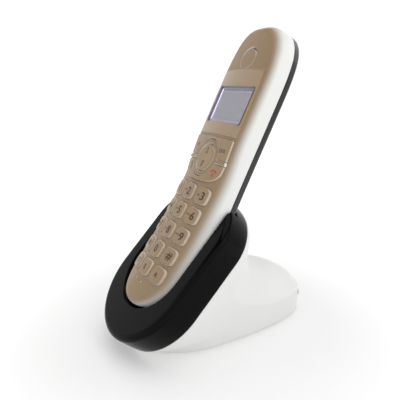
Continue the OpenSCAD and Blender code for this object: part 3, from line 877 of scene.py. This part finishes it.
def cluster():
    parts = [("softkey_left", -1, True), ("softkey_right", 1, True), ("talk_key", -1, False),
             ("end_key", 1, False)]
    for name, side, upper in parts:
        cap = slab(cluster_part(side, upper), [], raised(0.9), 0.9 + KEY_DEPTH, CLUSTER_EDGE, 0.8)
        place(cap.object(name + "_cap", docked), name, "champagne", M["key"], name)
    nav_disc()
    nav_ring()
    for side in (-1, 1):
        x = sorted((side * (RING_RADIUS - 0.4), side * 19.2))
        outline = resample(rounded_box(x[0], x[1], BRIDGE_V - BRIDGE_HALF, BRIDGE_V + BRIDGE_HALF,
                                       0.35, 4), 0.6)
        bar = slab(outline, [], raised(1.25), 3.2,
                   [(0.55, 0), (0.36, 0.06), (0.18, 0.2), (0.05, 0.42), (0, 0.66)], 0.6)
        name = "cluster_bar_left" if side < 0 else "cluster_bar_right"
        place(bar.object(name, docked), "handset", "champagne", M["face"])


def revolve(profile, centre, name, height, n=96):
    """Turns a closed profile of (radius, height above the face) round a point of the face."""
    builder = Builder()
    rings = []
    for r, w in profile:
        ring = circle(centre[0], centre[1], r, n)
        rings.append(builder.add(np.column_stack([ring, height(ring[:, 0], ring[:, 1]) + w])))
    for a, b in zip(rings, rings[1:] + rings[:1]):
        builder.strip(a, b)
    return builder.object(name, docked)


def nav_ring():
    inner, outer, crest = NAV_RADIUS + 0.45, RING_RADIUS - 0.05, 0.75
    arc = [(inner + (outer - inner) * t, crest * math.sin(math.pi * t ** 0.75) ** 0.7)
           for t in np.linspace(0.02, 0.98, 14)]
    profile = [(inner, -2.4), (inner, -0.25)] + arc + [(outer, -0.25), (outer, -2.4)]
    ring = revolve(profile, (0, NAV_V), "nav_ring", front_height)
    place(ring, "handset", "champagne", M["face"])


def nav_disc():
    """Round key with a shallow dish."""
    def height(u, v):
        r = np.hypot(u, v - NAV_V)
        return front_height(u, v) + 0.4 + 0.55 * (r / NAV_RADIUS) ** 2 * (1 - smooth_step(7.0, 8.0, r))

    disc = slab(circle(0, NAV_V, NAV_RADIUS, 96), [], height, 0.4 + KEY_DEPTH,
                [(0.5, 0), (0.3, 0.05), (0.12, 0.16), (0, 0.4)], 0.7)
    place(disc.object("nav_key_cap", docked), "nav_key", "champagne", M["key"], "nav_key")


def earpiece():
    """Flush cap; a crescent slit is left open at its upper edge."""
    radius, shift = EAR_RADIUS - 0.15, 0.9
    meet = math.asin(shift / 2 / radius)
    low = [(radius * math.cos(a), EAR_V + radius * math.sin(a))
           for a in np.linspace(math.pi + meet, 2 * math.pi - meet, 40)]
    high = [(radius * math.cos(a), EAR_V - shift + radius * math.sin(a))
            for a in np.linspace(meet, math.pi - meet, 40)]
    outline = resample(np.array(low[:-1] + high[:-1]), 0.7)
    cap = slab(outline, [], raised(-0.02), 1.4, FINE_LIP, 1.0).object("earpiece_plug", docked)
    place(cap, "handset", "champagne", M["face"], "earpiece_cap")


# ------------------------------------------------------------------ printed marks

def ink(name, points, tris, height, material, body):
    """A printed mark: a skin on the surface, 0.05 mm proud."""
    builder = Builder()
    top = builder.add(lifted(points, height, -0.05))
    low = builder.add(lifted(points, height, 0.05))
    builder.triangles(top, tris)
    builder.triangles(low, tris[:, ::-1])
    edges = {}
    for a, b, c in tris:
        for e in ((a, b), (b, c), (c, a)):
            edges[e] = True
    for a, b in edges:
        if (b, a) not in edges:
            builder.faces.append((top[a], top[b], low[b], low[a]))
    return place(builder.object(name, docked), body, "champagne", material)


def text_shape(text, size, centre):
    """Triangles of a short text in the built-in typeface, centred on a point."""
    curve = bpy.data.curves.new("text", "FONT")
    curve.body = text
    curve.size = size
    curve.resolution_u = 4
    curve.offset = 0.022 * size
    obj = bpy.data.objects.new("text", curve)
    bpy.context.scene.collection.objects.link(obj)
    bpy.context.view_layer.update()
    bm = bmesh.new()
    bm.from_mesh(obj.to_mesh())
    bmesh.ops.remove_doubles(bm, verts=bm.verts, dist=0.003 * size)
    bmesh.ops.triangulate(bm, faces=bm.faces)
    bmesh.ops.subdivide_edges(bm, edges=[e for e in bm.edges if e.calc_length() > 0.9], cuts=1)
    bmesh.ops.triangulate(bm, faces=bm.faces)
    bm.verts.ensure_lookup_table()
    points = np.array([(v.co.x, v.co.y) for v in bm.verts])
    tris = np.array([[v.index for v in f.verts] for f in bm.faces])
    bm.free()
    bpy.data.objects.remove(obj)
    middle = (points.min(0) + points.max(0)) / 2
    return points - middle + np.array(centre), tris


def outline_shape(outline, centre, holes=(), turn=0.0, size=1.0):
    """Triangles of a closed outline, turned and placed."""
    c, s = math.cos(math.radians(turn)) * size, math.sin(math.radians(turn)) * size
    matrix = np.array([[c, s], [-s, c]])
    moved = [np.asarray(o, float) @ matrix + np.array(centre) for o in (outline, *holes)]
    return fill_region(moved[0] if area_2d(moved[0]) > 0 else moved[0][::-1], moved[1:], 0.5)


def band(radius, half_width, start, end, n=24):
    """Outline of a thick arc; the half width may vary along it."""
    t = np.linspace(0, 1, n)
    angle = np.radians(start + (end - start) * t)
    half = half_width(t) if callable(half_width) else np.full(n, half_width)
    outer = np.column_stack([(radius + half) * np.cos(angle), (radius + half) * np.sin(angle)])
    inner = np.column_stack([(radius - half) * np.cos(angle), (radius - half) * np.sin(angle)])
    return np.concatenate([outer, inner[::-1]])


def joined(*shapes):
    points, tris, start = [], [], 0
    for p, t in shapes:
        points.append(p)
        tris.append(t + start)
        start += len(p)
    return np.concatenate(points), np.concatenate(tris)


def receiver(centre, turn, size):
    """Telephone receiver: an arc with thick ends."""
    def half(t):
        return 0.30 + 0.42 * np.abs(2 * t - 1) ** 3

    return outline_shape(band(1.9, half, 25, 155), (centre[0], centre[1]), (), turn, size)


TRIANGLE = [(-0.5, -0.4), (0.5, -0.4), (0, 0.5)]


def bar_shape(x0, x1, y0, y1, centre, turn=0.0, size=1.0):
    return outline_shape([(x0, y0), (x1, y0), (x1, y1), (x0, y1)], centre, (), turn, size)


def key_marks():
    letters = [["", "abc", "def"], ["ghi", "jkl", "mno"], ["pqrs", "tuv", "wxyz"]]
    digits = ["123", "456", "789", "*0#"]
    tops = raised(KEY_PROUD)
    for r, row in enumerate(digits):
        for c, digit in enumerate(row):
            name = {"*": "key_star", "#": "key_hash"}.get(digit, "key_" + digit)
            u, v = (c - 1) * KEY_PITCH, KEY_ROWS[r]
            has_letters = r < 3 and letters[r][c]
            shift = 1.2 if has_letters or digit == "1" else (0.9 if digit in "#*" else 0)
            size = 6.4 if digit != "*" else 7.5
            centre = (u + shift, v if digit != "*" else v + 0.1)
            ink(name + "_digit", *text_shape(digit, size, centre), tops, M["ink"], name)
            if has_letters:
                mark = text_shape(letters[r][c], 1.9, (u - 2.1, v + 0.1))
                ink(name + "_letters", *mark, tops, M["faint_ink"], name)
            elif digit == "1":
                mark = joined(outline_shape(band(0.45, 0.12, 0, 358, 20), (u - 2.6, v)),
                              outline_shape(band(0.45, 0.12, 0, 358, 20), (u - 1.4, v)))
                ink(name + "_tape_mark", *mark, tops, M["faint_ink"], name)
            elif digit == "#":
                mark = joined(bar_shape(-0.8, 0.8, -0.12, 0.12, (u - 2.2, v), 45),
                              bar_shape(-0.8, 0.8, -0.12, 0.12, (u - 2.2, v), -45))
                ink(name + "_cross_mark", *mark, tops, M["faint_ink"], name)
            elif digit == "*":
                ink(name + "_lock_mark", *bar_shape(-0.5, 0.5, -0.5, 0.4, (u - 2.4, v)), tops,
                    M["faint_ink"], name)
    v = KEY_ROWS[4]
    loop = joined(outline_shape(band(1.3, 0.2, 60, 350, 28), (-KEY_PITCH, v)),
                  outline_shape(TRIANGLE, (-KEY_PITCH + 1.1, v + 0.9), (), 120, 1.4))
    ink("key_redial_mark", *loop, tops, M["ink"], "key_redial")
    body = rounded_box(-0.55, 0.55, -0.7, 1.3, 0.5)
    mute = joined(outline_shape(body, (0, v + 0.2)), outline_shape(band(1.15, 0.14, 190, 350, 16), (0, v)),
                  bar_shape(-0.14, 0.14, -1.9, -1.1, (0, v)),
                  bar_shape(-2.0, 2.0, -0.13, 0.13, (0, v), -45))
    ink("key_mute_mark", *mute, tops, M["ink"], "key_mute")
    ink("key_recall_mark", *text_shape("R", 3.6, (KEY_PITCH, v)), tops, M["ink"], "key_recall")


def cluster_marks():
    tops = raised(0.9)
    menu = joined(*[bar_shape(-1.5, 1.5, -0.17, 0.17, (-13.3, 57.2 + 0.75 * i)) for i in (-1, 0, 1)])
    ink("softkey_left_mark", *menu, tops, M["ink"], "softkey_left")
    clear = joined(text_shape("C/", 2.9, (12.3, 56.3)),
                   outline_shape(rounded_box(-0.95, 0.95, -0.8, 0.8, 0.3), (14.9, 56.4),
                                 [rounded_box(-0.62, 0.62, -0.48, 0.48, 0.15)[::-1]]))
    ink("softkey_right_mark", *clear, tops, M["ink"], "softkey_right")
    ink("talk_key_mark", *receiver((-13.0, 43.2), -55, 1.25), tops, M["green"], "talk_key")
    power = joined(receiver((13.2, 42.9), 0, 1.05),
                   outline_shape(band(0.8, 0.17, 125, 415, 22), (13.2, 42.3)),
                   bar_shape(-0.15, 0.15, 0.1, 1.1, (13.2, 42.3)))
    ink("end_key_mark", *power, tops, M["red"], "end_key")

    def nav_top(u, v):
        r = np.hypot(u, v - NAV_V)
        return front_height(u, v) + 0.4 + 0.55 * (r / NAV_RADIUS) ** 2

    book = joined(outline_shape(TRIANGLE, (0, NAV_V + 5.3), (), 0, 1.7),
                  bar_shape(-1.1, 1.1, -0.22, 0.22, (0, NAV_V + 3.5)),
                  bar_shape(-1.1, 1.1, -0.22, 0.22, (0, NAV_V + 2.6)))
    calls = joined(outline_shape(TRIANGLE, (0, NAV_V - 5.3), (), 180, 1.7),
                   outline_shape(band(0.95, 0.22, 0, 358, 20), (0, NAV_V - 3.1)),
                   bar_shape(0, 0.6, -0.12, 0.12, (0, NAV_V - 3.2)))
    ink("nav_key_mark", *joined(book, calls), nav_top, M["ink"], "nav_key")
    line = bar_shape(-2.3, 2.3, -0.13, 0.13, (0, -27.8))
    ink("microphone_mark", *line, front_height, M["faint_ink"], "handset")


# ------------------------------------------------------------------ cradle cup

def ellipse_outline(front, front_end, rear_start, rear, half, power, n=48):
    """Outline of a base section: front half ellipse, straight sides, rear superellipse."""
    a = np.linspace(0, math.pi / 2, n, endpoint=False)
    side = [(half * math.sin(t), front_end - (front_end - front) * math.cos(t)) for t in a]
    side += [(half, y) for y in np.linspace(front_end, rear_start, 24, endpoint=False)]
    side += [(half * math.cos(t) ** (2 / power),
              rear_start + (rear - rear_start) * math.sin(t) ** (2 / power)) for t in a] + [(0, rear)]
    return np.array(side + [(-x, y) for x, y in reversed(side[1:-1])])


# Front, end of the rounded front, start and end of the rounded rear, half width, power of the rear
CUP_OUTLINE = (0.2, 35.9, 71.8, 100.7, 35.7, 2)


def pocket_outline(amount, end):
    """U shape of the handset's pocket in the docked frame, closed at a height along it."""
    r = POCKET_RADIUS + amount
    arc = [(r * math.cos(a), LOW_CENTRE + r * math.sin(a)) for a in np.linspace(math.pi, 2 * math.pi, 80)]
    sides = np.linspace(LOW_CENTRE, end, 40)[1:]
    return np.array([(-r, v) for v in sides[::-1]] + arc + [(r, v) for v in sides])


def plane_depth(v, level):
    """Height w in the docked frame at which a level of the cup lies, at a place v along it."""
    cup_axis = np.array([0, -math.sin(math.radians(CUP_SLOPE)), math.cos(math.radians(CUP_SLOPE))])
    start = HANDSET_ORIGIN - np.array([0, *FAN_LINE])
    return (level - start @ cup_axis - v * (UP @ cup_axis)) / (OUT @ cup_axis)


def cradle_cup():
    outline = ellipse_outline(*CUP_OUTLINE)
    edge, bulge = 3.5, 0.7
    levels = [(-0.35, 0), (0, 0.2), (0.18, 0.6), (0.3, 1.4), (0.42, 3), (0.5, 5), (0.6, 9),
              (bulge, CUP_HEIGHT - edge)]
    levels += [(bulge - edge * (1 - math.cos(t)), CUP_HEIGHT - edge + edge * math.sin(t))
               for t in np.linspace(0, math.pi / 2, 13)[1:]]
    builder = Builder()
    rings = [builder.add(np.column_stack([grow(outline, g), np.full(len(outline), z)])) for g, z in levels]
    builder.sweep(rings)
    cup = builder.object("cradle_shell", in_cup)
    # underside of the pocket, hanging inside the white body
    tub = pocket_outline(2.0, -2.4)
    wedge = prism(tub, POCKET_BACK - 2, plane_depth(tub[:, 1], 0.4)).object("tub", docked)
    cut(cup, wedge, "UNION")
    flare = [(0.55, 60.0, True), (0.55, 0.02, False), (0.3, -0.07, False), (0.12, -0.22, False),
             (0.02, -0.45, False), (0.0, -0.75, False)]
    builder = Builder()
    rings = []
    for amount, drop, far in flare:
        ring = pocket_outline(amount, 110)
        w = np.full(len(ring), drop) if far else plane_depth(ring[:, 1], CUP_HEIGHT) + drop
        w = np.maximum(w, POCKET_BACK + 0.4 + 0.02 * drop)
        rings.append(builder.add(np.column_stack([ring, w])))
    ring = pocket_outline(0, 110)
    rings.append(builder.add(np.column_stack([ring, np.full(len(ring), POCKET_BACK)])))
    builder.sweep(rings)
    cut(cup, builder.object("pocket", docked))
    pins = Builder()
    for x in (-7, 7):
        hole = circle(x, -9, 1.5, 24)
        low, high = [pins.add(np.column_stack([hole[:, 0], np.full(24, v), hole[:, 1]])) for v in (-60, -38)]
        pins.sweep([low, high])
    cut(cup, pins.object("pin_holes", docked))
    weighted_normals(cup, 32)
    return place(cup, "base", "black_gloss", M["cup"], "cradle_cup")


# ------------------------------------------------------------------ base body

# Fan sections of the side wall: angle, front, end of the rounded front, half width
WALL_ANGLE = [0, 6.8, 10.9, 16, 19.1, 22.1, 27.1, 33.8, 39.9, 46.97]
WALL_FRONT = [4, 3.2, 2.6, 2.1, 1.9, 1.7, 1.4, 0.9, 0.5, 0.2]
WALL_ROUND = [44, 43, 41, 39, 36, 34.5, 33.5, 34, 35.5, 35.9]
WALL_HALF = [27, 28.5, 29.5, 30.8, 31.5, 32, 32.8, 34, 35.1, 35.7]
WALL_REAR, WALL_SQUARE, WALL_STRAIGHT = (117.8, 118.9), 2.7, 44.0
# Fan sections of the tail's upper face: angle, reach on the middle line, reach at the side
ROOF_ANGLE = [0, 8, 11.3, 17.7, 24.8, 29, 33, 37.5, 40, 42, 46.97]
ROOF_MIDDLE = [160, 118.9, 114.5, 103, 90, 86.3, 87.2, 91.5, 94.9, 97, 100.7]
ROOF_SIDE = [140, 90.9, 76.5, 68.6, 64, 63, 63.5, 67, 71.5, 78, 86]
ROOF_HALF, ROOF_POWER = 31.0, 2.2
CREASE = 2.6
RAYS = 400
CENTRE = 50.0
# Round openings in the rear wall for the paging key and the power plug: place across, radius
REAR_HOLES = [(-10.5, 3.65), (11.0, 3.45)]
FOOT_PLACES = [(-14, -28), (14, -28), (-9.8, 52), (9.8, 52)]
FOOT_RADIUS, FOOT_THICKNESS = 4.5, 1.2
FOOT_EDGE = [(0.7, 0), (0.4, 0.06), (0.15, 0.22), (0, 0.5)]


def curve_through(xs, ys, x):
    """Smooth curve through points, without overshoot."""
    xs, ys = np.array(xs, float), np.array(ys, float)
    step = np.diff(ys) / np.diff(xs)
    slope = np.concatenate([[step[0]], np.where(step[1:] * step[:-1] > 0,
                            2 * step[1:] * step[:-1] / (step[1:] + step[:-1] + 1e-12), 0), [step[-1]]])
    i = int(np.clip(np.searchsorted(xs, x) - 1, 0, len(xs) - 2))
    h = xs[i + 1] - xs[i]
    t = (x - xs[i]) / h
    return (ys[i] * (1 + 2 * t) * (1 - t) ** 2 + ys[i + 1] * t * t * (3 - 2 * t)
            + h * t * (1 - t) * (slope[i] * (1 - t) - slope[i + 1] * t))


def ray_length(inside_test, n, low=0.0, high=200.0):
    """Distance along each ray to the boundary, by bisection."""
    lo, hi = np.full(n, low), np.full(n, high)
    for _ in range(40):
        middle = (lo + hi) / 2
        ok = inside_test(middle)
        lo, hi = np.where(ok, middle, lo), np.where(ok, hi, middle)
    return (lo + hi) / 2


def section_radii(angle, turns):
    """Distance from (0, CENTRE) to the body's outline in a fan plane, for each turn."""
    c, s = np.cos(turns), np.sin(turns)
    front = curve_through(WALL_ANGLE, WALL_FRONT, angle)
    rounded = curve_through(WALL_ANGLE, WALL_ROUND, angle)
    half = curve_through(WALL_ANGLE, WALL_HALF, angle)
    rear = WALL_REAR[0] + (WALL_REAR[1] - WALL_REAR[0]) * min(1, angle / 8)

    def in_wall(r):
        x, y = np.abs(r * c), CENTRE + r * s
        ahead = (x / half) ** 2 + ((rounded - y) / (rounded - front)) ** 2 < 1
        back = (x / half) ** WALL_SQUARE + (np.maximum(y - WALL_STRAIGHT, 0)
                                            / (rear - WALL_STRAIGHT)) ** WALL_SQUARE < 1
        return np.where(y < rounded, ahead, np.where(y > WALL_STRAIGHT, back, x < half))

    middle = curve_through(ROOF_ANGLE, ROOF_MIDDLE, angle)
    side = curve_through(ROOF_ANGLE, ROOF_SIDE, angle)

    def under_roof(r):
        x, y = np.abs(r * c), CENTRE + r * s
        return y < middle - (middle - side) * (x / ROOF_HALF) ** ROOF_POWER

    wall = ray_length(in_wall, len(turns))
    roof = ray_length(under_roof, len(turns), 0.0, 400.0)
    roof = np.where(s > 0.02, roof, 400.0)
    nearest = np.minimum(wall, roof)
    soft = nearest - np.log(np.exp(-CREASE * (wall - nearest)) + np.exp(-CREASE * (roof - nearest))) / CREASE
    ease = float(smooth_step(41.0, CUP_SLOPE, np.array(angle)))
    if ease > 0:
        f, a, b, r, h, p = CUP_OUTLINE

        def in_cup_outline(q):
            x, y = np.abs(q * c), CENTRE + q * s
            ahead = (x / h) ** 2 + ((a - y) / (a - f)) ** 2 < 1
            back = (x / h) ** p + (np.maximum(y - b, 0) / (r - b)) ** p < 1
            return np.where(y < a, ahead, np.where(y > b, back, x < h))

        soft = soft * (1 - ease) + ray_length(in_cup_outline, len(turns)) * ease
    return soft


def base_body():
    turns = np.linspace(0, 2 * math.pi, RAYS, endpoint=False)
    angles = np.concatenate([np.linspace(0, 6, 6, endpoint=False), np.linspace(6, 13, 28, endpoint=False),
                             np.linspace(13, CUP_SLOPE, 80)])
    c, s = np.cos(turns), np.sin(turns)
    radii = [section_radii(a, turns) for a in angles]
    builder = Builder()

    def ring(radius, angle):
        flat = np.column_stack([radius * c, CENTRE + radius * s])
        return builder.add(fan_points(flat, angle) / MM)

    outer = [ring(r, a) for r, a in zip(radii, angles)]
    lip = ring(radii[-1] - 0.4, angles[-1])
    inner = [ring(r - BASE_WALL, a) for r, a in list(zip(radii, angles))[::3]]
    inner_top = ring(radii[-1] - BASE_WALL, angles[-1])
    for a, b in zip(outer, outer[1:]):
        builder.strip(a, b)
    builder.strip(outer[-1], lip)
    builder.strip(lip, inner_top)
    for a, b in zip(inner, inner[1:] + [inner_top]):
        builder.strip(b, a)
    builder.strip(inner[0], outer[0])
    body = builder.object("base_body", world_mm, 40)
    cutters = [box_cutter("line_hole", (-5, 5), (50, 74), (7.5, 14.3), world_mm)]
    for x, r in REAR_HOLES:
        hole = Builder()
        points = circle(x, 11.0, r, 40)
        low, high = [hole.add(np.column_stack([points[:, 0], np.full(40, y), points[:, 1]]))
                     for y in (50, 74)]
        hole.sweep([low, high])
        cutters.append(hole.object("round_hole", world_mm))
    for cutter in cutters:
        cut(body, cutter)
    weighted_normals(body, 42)
    return place(body, "base", "white", M["white"], "base_body_shell")


def base_details():
    """Rubber feet and the paging key."""
    feet = Builder()
    for x, y in FOOT_PLACES:
        slab(circle(x, y, FOOT_RADIUS, 48), [], flat(0), FOOT_THICKNESS, FOOT_EDGE, 1.5, feet)
    obj = feet.object("base_feet", lambda p: world_mm(np.column_stack([p[:, 0], p[:, 1], -p[:, 2]])))
    place(obj, "base", "rubber", M["rubber"], "rubber_feet")
    profile = [(0.01, 62.2), (1.6, 62.15), (2.4, 62.0), (2.9, 61.75), (3.12, 61.4), (3.2, 60.9), (3.2, 55.2),
               (4.1, 55.2), (4.1, 54), (0.01, 54)]
    key = Builder()
    rings = []
    for r, y in profile:
        ring = circle(11.0, 11.0, r, 48)
        rings.append(key.add(np.column_stack([ring[:, 0], np.full(48, y), ring[:, 1]])))
    for a, b in zip(rings, rings[1:]):
        key.strip(a, b)
    key.cap(rings[0])
    key.cap(rings[-1])
    place(key.object("page_button", world_mm), "page_key", "page_key_grey", M["grey"], "page_key")


def cad_materials():
    looks = {
        "base_bottom_plate": "white", "base_screws": "steel", "base_pcb": "board", "dc_jack": "socket",
        "line_jack": "socket", "page_switch": "socket", "charge_contact_block": "socket",
        "charge_pin_left": "gold", "charge_pin_right": "gold", "battery_cell_left": "wrap",
        "battery_cell_right": "wrap", "battery_contacts": "steel", "handset_charge_contacts": "gold",
        "handset_screws": "steel", "handset_pcb": "board", "keypad_membrane": "membrane",
        "lcd_backlight": "diffuser", "earpiece_speaker": "socket", "microphone_capsule": "steel"}
    for name, look in looks.items():
        materials = frame["nodes"][name].data.materials
        materials.clear()
        materials.append(M[look])


# ------------------------------------------------------------------ stage

CAMERA_PLACE = np.array([211.53, -124.13, 147.98])
CAMERA_TURN, CAMERA_TILT = 60.9, 15.5
LENS = 38.88


def camera():
    data = bpy.data.cameras.new("camera")
    data.lens = LENS
    data.sensor_width = 36
    obj = bpy.data.objects.new("camera", data)
    bpy.context.scene.collection.objects.link(obj)
    obj.location = CAMERA_PLACE * MM
    a, e = math.radians(CAMERA_TURN), math.radians(CAMERA_TILT)
    back = Vector((math.sin(a) * math.cos(e), -math.cos(a) * math.cos(e), math.sin(e)))
    obj.rotation_euler = (-back).to_track_quat("-Z", "Y").to_euler()
    bpy.context.scene.camera = obj


def soft_light(name, place_mm, target_mm, size, watts, colour=(1, 1, 1)):
    data = bpy.data.lights.new(name, "AREA")
    data.shape = "RECTANGLE"
    data.size, data.size_y = size[0] * MM, size[1] * MM
    data.energy = watts
    data.color = colour
    obj = bpy.data.objects.new(name, data)
    bpy.context.scene.collection.objects.link(obj)
    obj.location = Vector(place_mm) * MM
    direction = Vector(target_mm) - Vector(place_mm)
    obj.rotation_euler = direction.to_track_quat("-Z", "Y").to_euler()


def turned_sheet(name, profile, material):
    builder = Builder()
    rings = []
    for r, z in profile:
        ring = circle(0, 0, r, 96)
        rings.append(builder.add(np.column_stack([ring, np.full(96, float(z))])))
    for a, b in zip(rings, rings[1:]):
        builder.strip(a, b)
    sheet = builder.object(name, world_mm)
    sheet.data.materials.append(material)


def paper(name, tone, light, far_light):
    """Matt paper that glows a little, more at 0.26 m from the middle than under the object."""
    n = Nodes(name)
    distance = n.new("ShaderNodeVectorMath", operation="LENGTH")
    n.link(n.coords.outputs["Object"], distance.inputs[0])
    n.link(n.spread(distance.outputs["Value"], light, far_light, 0.06, 0.26, smooth=True),
           n.shader.inputs["Emission Strength"])
    n.link(n.mix(n.noise(6), (tone, tone, tone), (tone + 0.02,) * 3), n.shader.inputs["Base Color"])
    n.bump(n.noise(300), 0.00005, 0.2)
    n.set(Roughness=0.9, Specular_IOR_Level=0.1, Emission_Color=(1.0, 1.0, 1.0))
    return n.material


def stage():
    """Pale floor inside a backdrop that runs all the way round, so that other views see it too."""
    turned_sheet("studio_floor", [(0.001, 0), (300, 0), (700, 0)], paper("floor_paper", 0.6, 0.3, 0.75))
    turned_sheet("studio_backdrop", [(700, 0), (1100, 0), (1300, 30), (1450, 120), (1550, 300), (1600, 600),
                                     (1600, 1500)], paper("backdrop_paper", 0.25, 0.82, 0.85))
    middle = (0, 0, 80)
    soft_light("key_light", (520, 60, 430), middle, (420, 420), 0.5, (1.0, 0.99, 0.97))
    soft_light("rear_light", (120, 620, 380), middle, (500, 300), 0.3)
    soft_light("front_fill", (-260, -520, 300), middle, (350, 350), 0.05, (1.0, 0.88, 0.74))
    soft_light("overhead", (0, 0, 900), middle, (900, 900), 4.6)
    world = bpy.data.worlds.new("studio")
    bpy.context.scene.world = world
    world.use_nodes = True
    background = world.node_tree.nodes["Background"]
    background.inputs["Color"].default_value = (1, 1, 1, 1)
    background.inputs["Strength"].default_value = 0.1
    bpy.context.scene.view_settings.view_transform = "Standard"


camera()
front_shell()
back_shell()
battery_door()
screen_and_lens()
keys()
cluster()
earpiece()
key_marks()
cluster_marks()
cradle_cup()
base_body()
base_details()
cad_materials()
stage()
